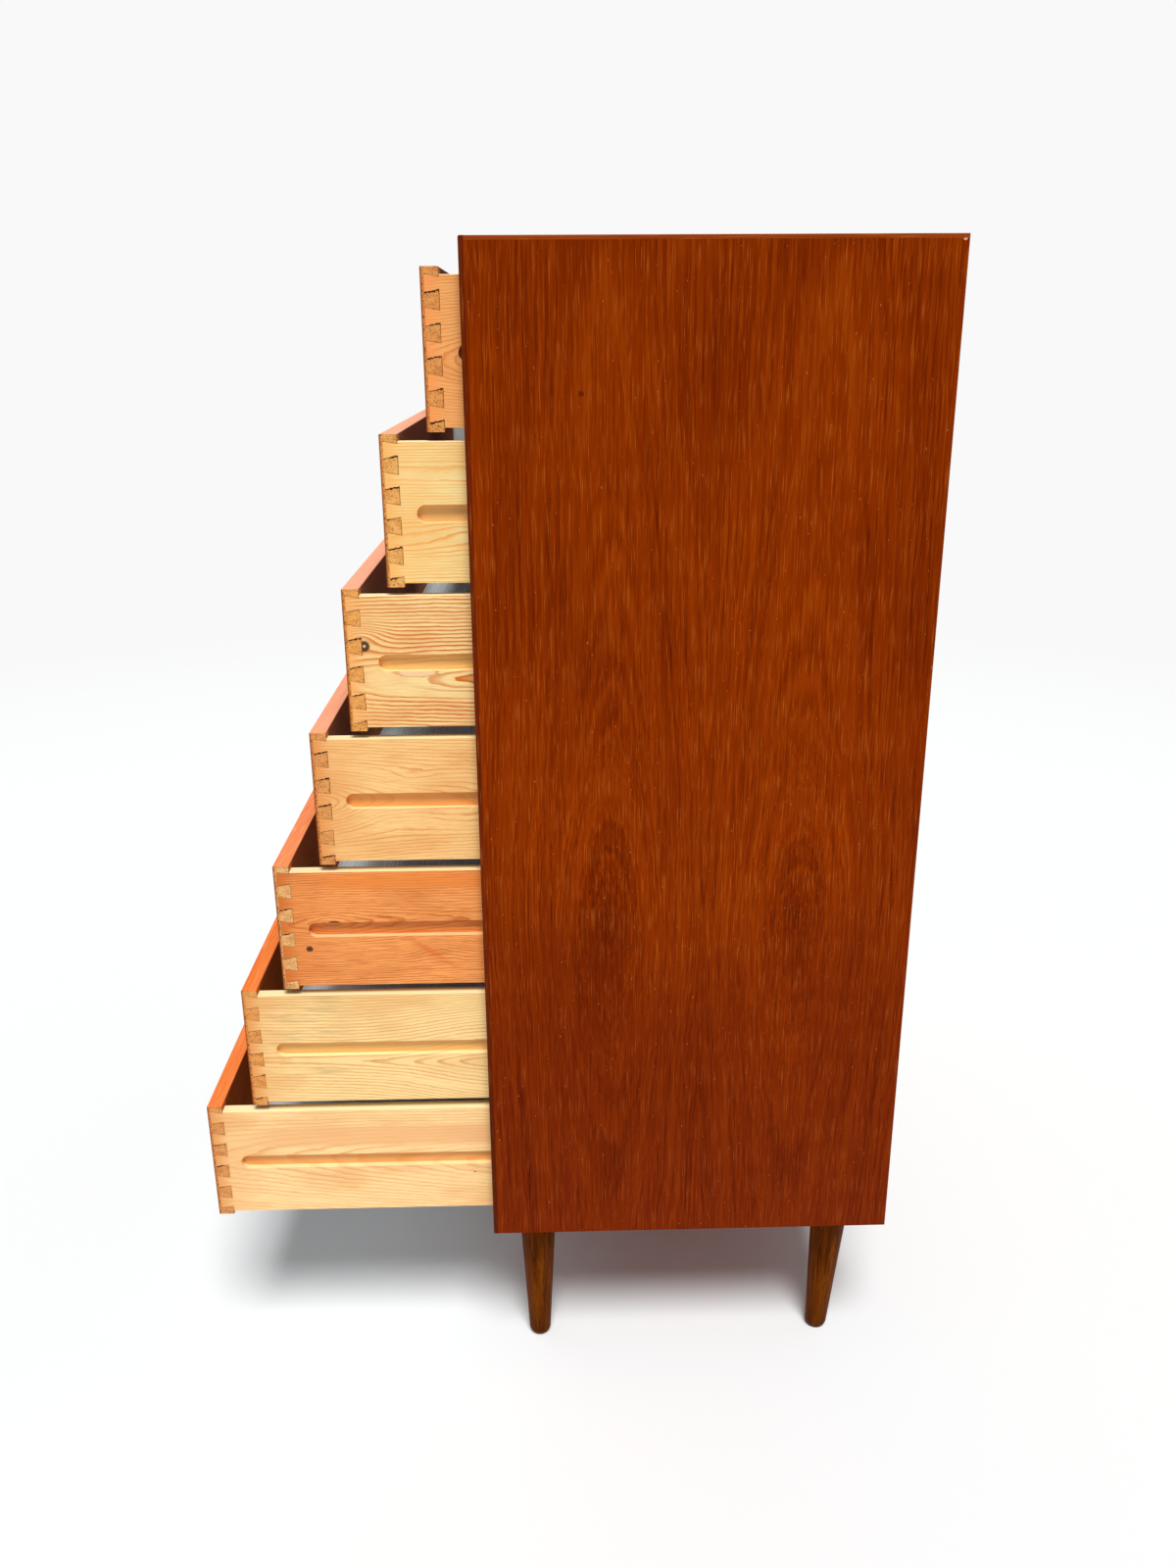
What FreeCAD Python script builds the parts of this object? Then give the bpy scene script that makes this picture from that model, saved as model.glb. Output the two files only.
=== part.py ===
import FreeCAD, Part
import os
import re
import Sketcher

# A tall chest of seven equal drawers, each standing open a little further than the one above it.
# All lengths are in millimetres. X runs along the width, Y from the drawer fronts to the back, Z up.
# The origin is on the floor, under the middle of the chest as it stands with its drawers open.

SIZES = {
    # The carcass, from the undersides of its side panels up
    "width": 660,
    "depth": 400,
    "panel_height": 935,
    "side_thickness": 16,
    "top_thickness": 20,
    "bottom_thickness": 17,
    "back_thickness": 6,
    "back_lap": 8,
    "back_clearance": 0.3,
    "front_lipping": 4.5,
    "top_lipping": 3.5,
    "lipping_round": 1.5,
    # Dowels that hold the top and the bottom between the sides
    "dowel_diameter": 8,
    "dowel_length": 30,
    "dowel_in_side": 10,
    "dowel_clearance": 0.1,
    "dowel_end_gap": 1,
    # Legs and their fixings
    "leg_height": 165,
    "leg_top_diameter": 39,
    "leg_foot_diameter": 22,
    "leg_foot_round": 8,
    "leg_from_front": 44,
    "leg_from_back": 46,
    "leg_from_side": 46,
    "rear_leg_rake": 8,
    "plate_size": 58,
    "plate_thickness": 2.5,
    "plate_corner": 6,
    "plate_screw_inset": 8,
    "stud_diameter": 8,
    "stud_in_leg": 28,
    "stud_in_panel": 11,
    "stud_clearance": 0.2,
    # Wood screws with countersunk heads
    "screw_diameter": 3.5,
    "screw_head": 7,
    "screw_length": 16,
    "screw_point": 3,
    "screw_slot": 0.9,
    "screw_slot_depth": 0.8,
    "screw_clearance": 0.1,
    # How the drawers fit the carcass, and how much of one stays inside when it is fully open
    "drawer_gap": 1.2,
    "drawer_side_gap": 0.8,
    "drawer_end_gap": 22,
    "drawer_kept": 72,
    # Drawer fronts, sides, backs and bottoms
    "front_thickness": 15,
    "arris": 0.8,
    "drawer_side": 12,
    "side_drop": 6,
    "side_rise": 3.5,
    "drawer_back": 12,
    "drawer_back_setback": 10,
    "housing_depth": 4,
    "drawer_bottom": 4.5,
    "drawer_bottom_level": 20.5,
    "bottom_groove": 5,
    "joint_clearance": 0.1,
    # Half-blind dovetails, counted down from a half pin at the top edge of the front
    "dovetail_lap": 3,
    "pin_spacing": 25,
    "pin_root": 15,
    "pin_tip": 10.7,
    "first_pin_drop": 0.3,
    # Runners on the carcass sides and the grooves that slide on them, a little below the fronts' middles
    "groove_height": 15,
    "groove_drop": 1.75,
    "groove_depth": 6,
    "groove_start": 28.5,
    "runner_height": 12.3,
    "runner_clearance": 0.3,
    "runner_face_clearance": 0.5,
    "runner_end_gap": 15,
    "runner_screw_inset": 30,
    # Pulls
    "pull_length": 120,
    "pull_projection": 20,
    "pull_level": 72,
    "pull_rise": 9,
    "pull_drop": 10,
    "pull_nose": 6,
    "pull_round": 2.4,
    "pull_end_round": 9,
    "peg_diameter": 8,
    "peg_length": 9,
    "peg_spacing": 70,
    # How far a cut runs past the face it starts from
    "overrun": 2,
}

# How far each drawer stands open, from the top down, as shares of its full travel
OPENING_SHARES = (0.107, 0.24, 0.373, 0.497, 0.643, 0.78, 0.933)
DRAWERS = len(OPENING_SHARES)
SIDES = (-1, 1)
NAMES = {-1: "left", 1: "right"}
TAILS = 5
RUNNER_SCREWS = 3
DOWEL_SHARES = (0.23, 0.41, 0.59, 0.77)
BACK_SCREW_SHARES = (0.04, 0.27, 0.5, 0.73, 0.96)

WORKED = {
    "inner_width": "width - 2 * side_thickness",
    "opening_height": "panel_height - top_thickness - bottom_thickness",
    "drawer_pitch": f"(opening_height - drawer_gap) / {DRAWERS}",
    "front_height": "drawer_pitch - drawer_gap",
    "front_width": "inner_width - 2 * drawer_side_gap",
    "drawer_inner_width": "front_width - 2 * drawer_side",
    "drawer_length": "depth - back_thickness - drawer_end_gap",
    "drawer_travel": "drawer_length - drawer_kept",
    "side_top": "front_height - side_drop",
    "floor_level": "drawer_bottom_level + drawer_bottom",
    "back_front_face": "drawer_length - drawer_back_setback - drawer_back",
    "back_rear_face": "drawer_length - drawer_back_setback",
    "runner_thickness": "drawer_side_gap + groove_depth - runner_face_clearance",
    "runner_start": "groove_start + (groove_height - runner_height) / 2",
    "runner_length": "depth - back_thickness - runner_end_gap - runner_start",
    "leg_length": "leg_height - plate_thickness",
    "carcass_y": f"({max(OPENING_SHARES)} * drawer_travel + pull_projection - depth) / 2",
}
for order, share in enumerate(OPENING_SHARES):
    WORKED[f"drawer_y_{order + 1}"] = f"carcass_y - {share} * drawer_travel"
    WORKED[f"drawer_z_{order + 1}"] = (
        f"leg_height + bottom_thickness + drawer_gap + {DRAWERS - 1 - order} * drawer_pitch")

# How near an edge must lie to a place, as a share of the rounding on the small edges
MATCH_SHARE = 0.01

doc = FreeCAD.newDocument("TallDresser")
sizes_sheet = doc.addObject("Spreadsheet::Sheet", "Sizes")
worked_sheet = doc.addObject("Spreadsheet::Sheet", "Worked")
nodes = []


# The two sheets and the rules that read them

def rule(text):
    """Turn a sum of size names into an expression that reads their cells."""
    def cell(word):
        name = word.group()
        if name in SIZES:
            return f"Sizes.{name}"
        if name in WORKED:
            return f"Worked.{name}"
        return name
    return re.sub(r"[a-z]\w*", cell, text)


def fill_sheets():
    """Write the driving sizes as plain numbers and the sizes worked out from them as sums."""
    for row, (name, size) in enumerate(SIZES.items(), start=1):
        sizes_sheet.set(f"A{row}", name)
        sizes_sheet.set(f"B{row}", str(size))
        sizes_sheet.setAlias(f"B{row}", name)
    doc.recompute()
    for row, (name, text) in enumerate(WORKED.items(), start=1):
        worked_sheet.set(f"A{row}", name)
        worked_sheet.set(f"B{row}", "=" + rule(text).replace("Worked.", ""))
        worked_sheet.setAlias(f"B{row}", name)
        doc.recompute()


def number(text):
    """What a sum of size names comes to."""
    return float(sizes_sheet.evalExpression(rule(text)))


def vector(x, y, z):
    return FreeCAD.Vector(number(x), number(y), number(z))


# Sketches, pads and pockets

def origin_feature(body, role):
    return next(feature for feature in body.Origin.OriginFeatures if feature.Role == role)


def new_body(label):
    body = doc.addObject("PartDesign::Body", "Body")
    body.Label = label
    return body


def new_sketch(body, plane, level):
    """A sketch on one of the body's origin planes, moved along the axis square to it."""
    sketch = body.newObject("Sketcher::SketchObject", "Sketch")
    sketch.AttachmentSupport = [(origin_feature(body, plane), "")]
    sketch.MapMode = "FlatFace"
    sign = "-" if plane == "XZ_Plane" else ""
    sketch.setExpression("AttachmentOffset.Base.z", f"{sign}({rule(level)})")
    return sketch


def hold(sketch, geometry, point, x, y):
    """Tie a point of the sketch to the origin by two bound distances."""
    for kind, text in (("DistanceX", x), ("DistanceY", y)):
        index = sketch.addConstraint(Sketcher.Constraint(kind, -1, 1, geometry, point, number(text)))
        sketch.setExpression(f"Constraints[{index}]", rule(text))


def draw_outline(sketch, corners):
    """Straight edges from corner to corner and back to the first."""
    count = len(corners)
    places = [vector(x, y, "0") for x, y in corners]
    for index in range(count):
        sketch.addGeometry(Part.LineSegment(places[index], places[(index + 1) % count]))
    for index in range(count):
        sketch.addConstraint(Sketcher.Constraint("Coincident", index, 2, (index + 1) % count, 1))
    for index, (x, y) in enumerate(corners):
        hold(sketch, index, 1, x, y)


def draw_circle(sketch, x, y, radius):
    circle = Part.Circle(vector(x, y, "0"), FreeCAD.Vector(0, 0, 1), number(radius))
    index = sketch.addGeometry(circle)
    hold(sketch, index, 3, x, y)
    size = sketch.addConstraint(Sketcher.Constraint("Radius", index, number(radius)))
    sketch.setExpression(f"Constraints[{size}]", rule(radius))


def rectangle(x_low, y_low, x_high, y_high):
    return [(x_low, y_low), (x_high, y_low), (x_high, y_high), (x_low, y_high)]


def extrude(body, kind, plane, low, high, corners=None, circles=()):
    """Pad or pocket an outline, or some circles, from low to high along the plane's own axis."""
    sketch = new_sketch(body, plane, low)
    if corners:
        draw_outline(sketch, corners)
    for x, y, radius in circles:
        draw_circle(sketch, x, y, radius)
    feature = body.newObject(f"PartDesign::{kind}", kind)
    feature.Profile = sketch
    feature.setExpression("Length", rule(f"({high}) - ({low})"))
    feature.Reversed = (plane == "XZ_Plane") == (kind == "Pad")
    return feature


def pad(body, plane, low, high, corners=None, circles=()):
    return extrude(body, "Pad", plane, low, high, corners, circles)


def pocket(body, plane, low, high, corners=None, circles=()):
    return extrude(body, "Pocket", plane, low, high, corners, circles)


def repeat(body, feature, axis, spacing, count, backwards=False):
    """Repeat a feature in a row along one of the body's axes."""
    row = body.newObject("PartDesign::LinearPattern", "Row")
    row.Originals = [feature]
    row.Direction = (origin_feature(body, axis), [""])
    row.Mode = "Spacing"
    row.setExpression("Offset", rule(spacing))
    row.Occurrences = count
    row.Reversed = backwards
    body.Tip = row


def matches(found, text):
    return abs(found - number(text)) < MATCH_SHARE * number("arris")


def lies_along(edge, axis, places):
    """Whether an edge is straight along one axis, with its middle at the given places."""
    if len(edge.Vertexes) != 2:
        return False
    run = edge.Vertexes[1].Point - edge.Vertexes[0].Point
    straight = abs(abs(getattr(run, axis)) - run.Length) < MATCH_SHARE * number("arris")
    return straight and all(matches(getattr(edge.CenterOfMass, key), text) for key, text in places.items())


def round_edges(body, radius, *chosen):
    """Round the edges that pass one of the given tests."""
    body.recompute(True)
    names = [f"Edge{index}" for index, edge in enumerate(body.Shape.Edges, start=1)
             if any(test(edge) for test in chosen)]
    base = body.Tip
    rounding = body.newObject("PartDesign::Fillet", "Rounding")
    rounding.Base = (base, names)
    rounding.setExpression("Radius", rule(radius))


def along(axis, **places):
    """A test for straight edges along an axis at the given places."""
    return lambda edge: lies_along(edge, axis, places)


def span(side, near, far):
    """Two distances from the middle as a low and a high place, on the right (1) or the left (-1)."""
    return (near, far) if side > 0 else (f"-({far})", f"-({near})")


def board(label, x_range, y_range, z_range):
    """A rectangular board, given by its lowest and highest place on each axis."""
    body = new_body(label)
    corners = rectangle(x_range[0], y_range[0], x_range[1], y_range[1])
    pad(body, "XY_Plane", z_range[0], z_range[1], corners)
    return body


# Pieces and where they stand

def stand(piece, y, z, x="0"):
    """Move a piece from its own frame to its place in the chest."""
    for axis, text in (("x", x), ("y", y), ("z", z)):
        piece.setExpression(f"Placement.Base.{axis}", rule(text))


def keep(piece, label, y="carcass_y", z="leg_height", x="0"):
    """Name a finished piece, set it in its place and list it for the parts folder."""
    piece.Label = label
    stand(piece, y, z, x)
    nodes.append(piece)


def group(label, members):
    """Several loose pieces of one kind, kept together as one node."""
    compound = doc.addObject("Part::Compound", "Group")
    compound.Links = members
    keep(compound, label)


def loose(label, shapes):
    """Repeated small pieces, shaped and placed from the named sizes."""
    feature = doc.addObject("Part::Feature", "Loose")
    feature.Shape = Part.makeCompound(shapes)
    keep(feature, label)


def drilled(blank, holes, label):
    """A board with its holes bored."""
    cut = doc.addObject("Part::Cut", "Drilled")
    cut.Base = blank
    cut.Tool = holes
    keep(cut, label)


# Screws, dowels and holes, in the frame of the carcass

def turned(shape, place, axis):
    """A shape made along +Z, turned to point along an axis and moved to its place."""
    copy = shape.copy()
    turn = FreeCAD.Placement(place, FreeCAD.Rotation(FreeCAD.Vector(0, 0, 1), axis))
    copy.Placement = turn.multiply(shape.Placement)
    return copy


def wood_screw():
    """A screw whose head is flush with the face it is driven through, at height zero."""
    head = number("screw_head") / 2
    shank = number("screw_diameter") / 2
    cone = head - shank
    length = number("screw_length")
    point = number("screw_point")
    slot = number("screw_slot")
    profile = [(0, 0), (head, 0), (shank, cone), (shank, length - point), (0, length)]
    wire = Part.makePolygon([FreeCAD.Vector(x, 0, z) for x, z in profile + profile[:1]])
    solid = Part.Face(wire).revolve(FreeCAD.Vector(0, 0, 0), FreeCAD.Vector(0, 0, 1))
    groove = Part.makeBox(2 * head, slot, 2 * number("screw_slot_depth"))
    groove.translate(FreeCAD.Vector(-head, -slot / 2, -number("screw_slot_depth")))
    return solid.cut(groove)


def screw_hole():
    """The room that a screw takes, with its clearance."""
    clearance = number("screw_clearance")
    head = number("screw_head") / 2 + clearance
    shank = number("screw_diameter") / 2 + clearance
    overrun = number("overrun")
    length = number("screw_length") + clearance
    profile = [(0, -overrun), (head, -overrun), (head, 0), (shank, head - shank), (shank, length), (0, length)]
    wire = Part.makePolygon([FreeCAD.Vector(x, 0, z) for x, z in profile + profile[:1]])
    return Part.Face(wire).revolve(FreeCAD.Vector(0, 0, 0), FreeCAD.Vector(0, 0, 1))


def bar(diameter, length, start):
    """A round bar along +Z from a start height."""
    cylinder = Part.makeCylinder(diameter / 2, length)
    cylinder.translate(FreeCAD.Vector(0, 0, start))
    return cylinder


def runner_middle(drawer):
    """Height of a drawer's runners, which its grooves hang on, above the undersides of the sides."""
    groove_top = f"drawer_z_{drawer} - leg_height + (front_height + groove_height) / 2 - groove_drop"
    return number(f"{groove_top} - runner_clearance - runner_height / 2")


def runner_screw_places():
    """Each runner screw's head, with the way it points."""
    reach = number("inner_width / 2 - runner_thickness")
    first = number("runner_start + runner_screw_inset")
    step = number("runner_length - 2 * runner_screw_inset") / (RUNNER_SCREWS - 1)
    places = []
    for side in SIDES:
        for drawer in range(1, DRAWERS + 1):
            for index in range(RUNNER_SCREWS):
                place = FreeCAD.Vector(side * reach, first + index * step, runner_middle(drawer))
                places.append((place, FreeCAD.Vector(side, 0, 0)))
    return places


def back_screw_places():
    """Screws round the edge of the back, driven forward into the sides, the top and the bottom."""
    across = number("(inner_width + back_lap) / 2")
    low = number("bottom_thickness - back_lap / 2")
    high = number("panel_height - top_thickness + back_lap / 2")
    forward = FreeCAD.Vector(0, -1, 0)
    places = []
    for share in BACK_SCREW_SHARES:
        height = low + share * (high - low)
        places += [(FreeCAD.Vector(side * across, number("depth"), height), forward) for side in SIDES]
    for share in BACK_SCREW_SHARES[1:-1]:
        x = across * (2 * share - 1)
        places += [(FreeCAD.Vector(x, number("depth"), height), forward) for height in (low, high)]
    return places


def leg_places():
    """Where each leg's axis meets the underside of the bottom, with its name and its rake."""
    across = "width / 2 - leg_from_side"
    return [
        ("leg_front_left", f"-({across})", "leg_from_front", "0"),
        ("leg_front_right", across, "leg_from_front", "0"),
        ("leg_rear_left", f"-({across})", "depth - leg_from_back", "rear_leg_rake"),
        ("leg_rear_right", across, "depth - leg_from_back", "rear_leg_rake"),
    ]


def plate_screw_places():
    """Four screws in each leg plate, driven up into the bottom."""
    reach = number("plate_size / 2 - plate_screw_inset")
    places = []
    for _, x, y, _ in leg_places():
        for side in SIDES:
            for end in (-1, 1):
                place = vector(x, y, "-plate_thickness") + FreeCAD.Vector(side * reach, end * reach, 0)
                places.append((place, FreeCAD.Vector(0, 0, 1)))
    return places


def dowel_places():
    """The ends of the dowels inside the side panels, pointing inward."""
    places = []
    for side in SIDES:
        for height in (number("bottom_thickness / 2"), number("panel_height - top_thickness / 2")):
            for share in DOWEL_SHARES:
                x = side * number("inner_width / 2 + dowel_in_side")
                place = FreeCAD.Vector(x, share * number("depth"), height)
                places.append((place, FreeCAD.Vector(-side, 0, 0)))
    return places


def carcass_holes():
    """Every hole that is bored in the carcass boards."""
    dowel = bar(number("dowel_diameter + 2 * dowel_clearance"),
                number("dowel_length + 2 * dowel_end_gap"), -number("dowel_end_gap"))
    stud = bar(number("stud_diameter + 2 * stud_clearance"),
               number("stud_in_panel + stud_clearance + overrun"), -number("overrun"))
    shapes = [turned(dowel, place, axis) for place, axis in dowel_places()]
    screw_places = runner_screw_places() + back_screw_places() + plate_screw_places()
    shapes += [turned(screw_hole(), place, axis) for place, axis in screw_places]
    shapes += [turned(stud, vector(x, y, "0"), FreeCAD.Vector(0, 0, 1)) for _, x, y, _ in leg_places()]
    holes = doc.addObject("Part::Feature", "CarcassHoles")
    holes.Shape = Part.makeCompound(shapes)
    return holes


# The carcass

def side_panel(side, holes):
    """A side board, rebated at the back, behind its front lipping and under its top lipping."""
    body = board(f"side_board_{NAMES[side]}", span(side, "inner_width / 2", "width / 2"),
                 ("front_lipping", "depth"), ("0", "panel_height - top_lipping"))
    low, high = span(side, "inner_width / 2 - overrun", "inner_width / 2 + back_lap")
    pocket(body, "XY_Plane", "bottom_thickness - back_lap", "panel_height - top_thickness + back_lap",
           rectangle(low, "depth - back_thickness", high, "depth + overrun"))
    drilled(body, holes, f"side_panel_{NAMES[side]}")


def level_panel(label, low, high, rebate_low, rebate_high, holes):
    """The top or the bottom board, between the sides, rebated along its rear edge."""
    half = "inner_width / 2"
    body = board(f"{label}_board", (f"-{half}", half), ("front_lipping", "depth"), (low, high))
    pocket(body, "XY_Plane", rebate_low, rebate_high,
           rectangle(f"-{half} - overrun", "depth - back_thickness", f"{half} + overrun", "depth + overrun"))
    drilled(body, holes, label)


def back_panel(holes):
    """The back, set in the rebates."""
    reach = "(inner_width / 2 + back_lap - back_clearance)"
    body = board("back_board", (f"-{reach}", reach), ("depth - back_thickness", "depth"),
                 ("bottom_thickness - back_lap + back_clearance",
                  "panel_height - top_thickness + back_lap - back_clearance"))
    drilled(body, holes, "back_panel")


def lippings():
    """Solid strips on the front edges of all four boards and on the top edges of the sides."""
    front_strips = []
    top_strips = []
    for side in SIDES:
        across = span(side, "inner_width / 2", "width / 2")
        strip = board("side_lipping", across, ("0", "front_lipping"), ("0", "panel_height"))
        round_edges(strip, "lipping_round", along("z", y="0"), along("x", y="0"))
        front_strips.append(strip)
        strip = board("top_lipping", across, ("front_lipping", "depth"),
                      ("panel_height - top_lipping", "panel_height"))
        round_edges(strip, "arris", along("y", x=f"{side} * width / 2", z="panel_height"))
        top_strips.append(strip)
    half = "inner_width / 2"
    for low, high in (("0", "bottom_thickness"), ("panel_height - top_thickness", "panel_height")):
        strip = board("cross_lipping", (f"-{half}", half), ("0", "front_lipping"), (low, high))
        round_edges(strip, "arris", along("x", y="0"))
        front_strips.append(strip)
    group("front_edge_lippings", front_strips)
    group("top_edge_lippings", top_strips)


def runners():
    """A screwed-on runner for each drawer on each side, its front end rounded like the groove's."""
    thickness = number("runner_thickness")
    height = number("runner_height")
    length = number("runner_length")
    start = number("runner_start")
    bored = [turned(screw_hole(), place, axis) for place, axis in runner_screw_places()]
    shapes = []
    for side in SIDES:
        x = number(span(side, "inner_width / 2 - runner_thickness", "inner_width / 2")[0])
        for drawer in range(1, DRAWERS + 1):
            middle = runner_middle(drawer)
            nose = Part.makeCylinder(height / 2, thickness, FreeCAD.Vector(x, start + height / 2, middle),
                                     FreeCAD.Vector(1, 0, 0))
            rail = Part.makeBox(thickness, length - height / 2, height,
                                FreeCAD.Vector(x, start + height / 2, middle - height / 2))
            runner = rail.fuse(nose).removeSplitter()
            near = [hole for hole in bored if hole.BoundBox.intersect(runner.BoundBox)]
            shapes.append(runner.cut(Part.makeCompound(near)))
    loose("drawer_runners", shapes)


# The legs

def leg_trim():
    """What is cut from the legs: all above their plates, all below the floor, and the stud holes."""
    overrun = number("overrun")
    above = Part.makeBox(number("width"), number("depth"), number("bottom_thickness"),
                         vector("-width / 2", "0", "-plate_thickness"))
    below = Part.makeBox(number("width"), number("depth"), number("leg_foot_round"),
                         vector("-width / 2", "0", "-leg_height - leg_foot_round"))
    hole = bar(number("stud_diameter + 2 * stud_clearance"), number("stud_in_leg + stud_clearance") + overrun,
               -number("plate_thickness + stud_in_leg + stud_clearance"))
    holes = [turned(hole, vector(x, y, "0"), FreeCAD.Vector(0, 0, 1)) for _, x, y, _ in leg_places()]
    trim = doc.addObject("Part::Feature", "LegTrim")
    trim.Shape = above.multiFuse([below] + holes)
    return trim


def leg(label, x, y, rake, trim):
    """A turned leg that tapers to a rounded foot; the rear ones lean a little forward."""
    lean = f"atan(({rake}) / leg_length)"
    length = f"leg_length / cos({lean})"
    body = new_body(f"{label}_blank")
    taper = body.newObject("PartDesign::AdditiveCone", "Taper")
    taper.AttachmentSupport = [(origin_feature(body, "XY_Plane"), "")]
    taper.MapMode = "FlatFace"
    taper.setExpression("AttachmentOffset.Base.z", rule(f"-({length})"))
    taper.setExpression("Height", rule(f"{length} + overrun"))
    taper.setExpression("Radius1", rule("leg_foot_diameter / 2"))
    taper.setExpression("Radius2", rule("leg_top_diameter / 2"))
    round_edges(body, "leg_foot_round", lambda edge: matches(edge.BoundBox.ZMax, f"-({length})"))
    stand(body, y, "-plate_thickness", x)
    body.Placement.Rotation = FreeCAD.Rotation(FreeCAD.Vector(1, 0, 0), number(f"-{lean}"))
    body.setExpression("Placement.Rotation.Angle", rule(f"-{lean}"))
    drilled(body, trim, label)


def leg_plates():
    """Steel plates under the bottom, one over each leg, countersunk for four screws."""
    size = number("plate_size")
    thickness = number("plate_thickness")
    bores = [turned(screw_hole(), place, axis) for place, axis in plate_screw_places()]
    stud = bar(number("stud_diameter + 2 * stud_clearance"), thickness + 2 * number("overrun"),
               -number("overrun"))
    shapes = []
    for _, x, y, _ in leg_places():
        corner = vector(x, y, "-plate_thickness") - FreeCAD.Vector(size / 2, size / 2, 0)
        plate = Part.makeBox(size, size, thickness, corner)
        upright = [edge for edge in plate.Edges if matches(edge.Length, "plate_thickness")]
        plate = plate.makeFillet(number("plate_corner"), upright)
        near = [hole for hole in bores if hole.BoundBox.intersect(plate.BoundBox)]
        near.append(turned(stud, vector(x, y, "-plate_thickness"), FreeCAD.Vector(0, 0, 1)))
        shapes.append(plate.cut(Part.makeCompound(near)))
    loose("leg_plates", shapes)


def leg_studs():
    """Threaded studs that run from the legs through the plates into the bottom."""
    below = number("plate_thickness + stud_in_leg")
    stud = bar(number("stud_diameter"), below + number("stud_in_panel"), -below)
    loose("leg_studs", [turned(stud, vector(x, y, "0"), FreeCAD.Vector(0, 0, 1))
                        for _, x, y, _ in leg_places()])


# The drawers, each in its own frame: Y from the front's outer face, Z from its lower edge

def pin_middle(order):
    """Height of a dovetail pin's middle, counted down from the half pin at the top edge."""
    return f"(front_height - first_pin_drop - {order} * pin_spacing)"


def drawer_front(drawer):
    """A solid front with dovetail sockets in its ends, a groove for the bottom and peg holes."""
    half = "front_width / 2"
    body = board("front", (f"-{half}", half), ("0", "front_thickness"), ("0", "front_height"))
    round_edges(body, "arris", along("x", y="0"), along("z", y="0"),
                along("x", y="front_thickness", z="front_height"))
    tip_high = f"{pin_middle(0)} - pin_tip / 2"
    root_high = f"{pin_middle(0)} - pin_root / 2"
    tip_low = f"{pin_middle(1)} + pin_tip / 2"
    root_low = f"{pin_middle(1)} + pin_root / 2"
    past = "front_thickness + overrun"
    socket = [("dovetail_lap", tip_low), ("front_thickness", root_low), (past, root_low),
              (past, root_high), ("front_thickness", root_high), ("dovetail_lap", tip_high)]
    depth = "(drawer_side + joint_clearance)"
    for low, high in ((f"-{half} - overrun", f"-{half} + {depth}"), (f"{half} - {depth}", f"{half} + overrun")):
        cut = pocket(body, "YZ_Plane", low, high, socket)
        repeat(body, cut, "Z_Axis", "pin_spacing", TAILS, backwards=True)
    inner = "drawer_inner_width / 2"
    groove = rectangle("front_thickness - bottom_groove", "drawer_bottom_level - joint_clearance",
                       past, "floor_level + joint_clearance")
    pocket(body, "YZ_Plane", f"-{inner}", inner, groove)
    pegs = [(f"{side} * peg_spacing / 2", "pull_level", "peg_diameter / 2 + joint_clearance")
            for side in SIDES]
    pocket(body, "XZ_Plane", "-overrun", "peg_length + joint_clearance", circles=pegs)
    keep(body, f"drawer_{drawer}_front", f"drawer_y_{drawer}", f"drawer_z_{drawer}")


def drawer_side(drawer, side):
    """A side with dovetails at its front end, a runner groove outside and two grooves inside."""
    outer = "front_width / 2"
    inner = "drawer_inner_width / 2"
    body = board("side", span(side, inner, outer), ("dovetail_lap + joint_clearance", "drawer_length"),
                 ("side_rise", "side_top"))
    round_edges(body, "arris", along("y", z="side_top"))
    tip = "(pin_tip / 2 + joint_clearance)"
    root = "(pin_root / 2 + joint_clearance)"
    middle = pin_middle(0)
    gap = [("dovetail_lap - overrun", f"{middle} - {tip}"), ("dovetail_lap", f"{middle} - {tip}"),
           ("front_thickness", f"{middle} - {root}"), ("front_thickness", f"{middle} + {root}"),
           ("dovetail_lap", f"{middle} + {tip}"), ("dovetail_lap - overrun", f"{middle} + {tip}")]
    cut = pocket(body, "YZ_Plane", *span(side, f"{inner} - overrun", f"{outer} + overrun"), gap)
    repeat(body, cut, "Z_Axis", "pin_spacing", TAILS + 1, backwards=True)
    runner_cut = span(side, f"{outer} - groove_depth", f"{outer} + overrun")
    nose = "groove_start + groove_height / 2"
    level = "front_height / 2 - groove_drop"
    slot = rectangle(nose, f"{level} - groove_height / 2", "drawer_length + overrun",
                     f"{level} + groove_height / 2")
    pocket(body, "YZ_Plane", *runner_cut, slot)
    pocket(body, "YZ_Plane", *runner_cut, circles=[(nose, level, "groove_height / 2")])
    for depth, bottom, top, start, end in (
            ("bottom_groove", "drawer_bottom_level - joint_clearance", "floor_level + joint_clearance",
             "front_thickness", "drawer_length + overrun"),
            ("housing_depth", "floor_level", "side_top + overrun",
             "back_front_face - joint_clearance", "back_rear_face + joint_clearance")):
        inner_cut = span(side, f"{inner} - overrun", f"{inner} + {depth}")
        pocket(body, "YZ_Plane", *inner_cut, rectangle(start, bottom, end, top))
    keep(body, f"drawer_{drawer}_side_{NAMES[side]}", f"drawer_y_{drawer}", f"drawer_z_{drawer}")


def drawer_back(drawer):
    """The back stands on the bottom, with its ends in the sides' housings."""
    reach = "(drawer_inner_width / 2 + housing_depth - joint_clearance)"
    body = board("back", (f"-{reach}", reach), ("back_front_face", "back_rear_face"),
                 ("floor_level", "side_top"))
    round_edges(body, "arris", along("x", z="side_top"))
    keep(body, f"drawer_{drawer}_back", f"drawer_y_{drawer}", f"drawer_z_{drawer}")


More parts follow.
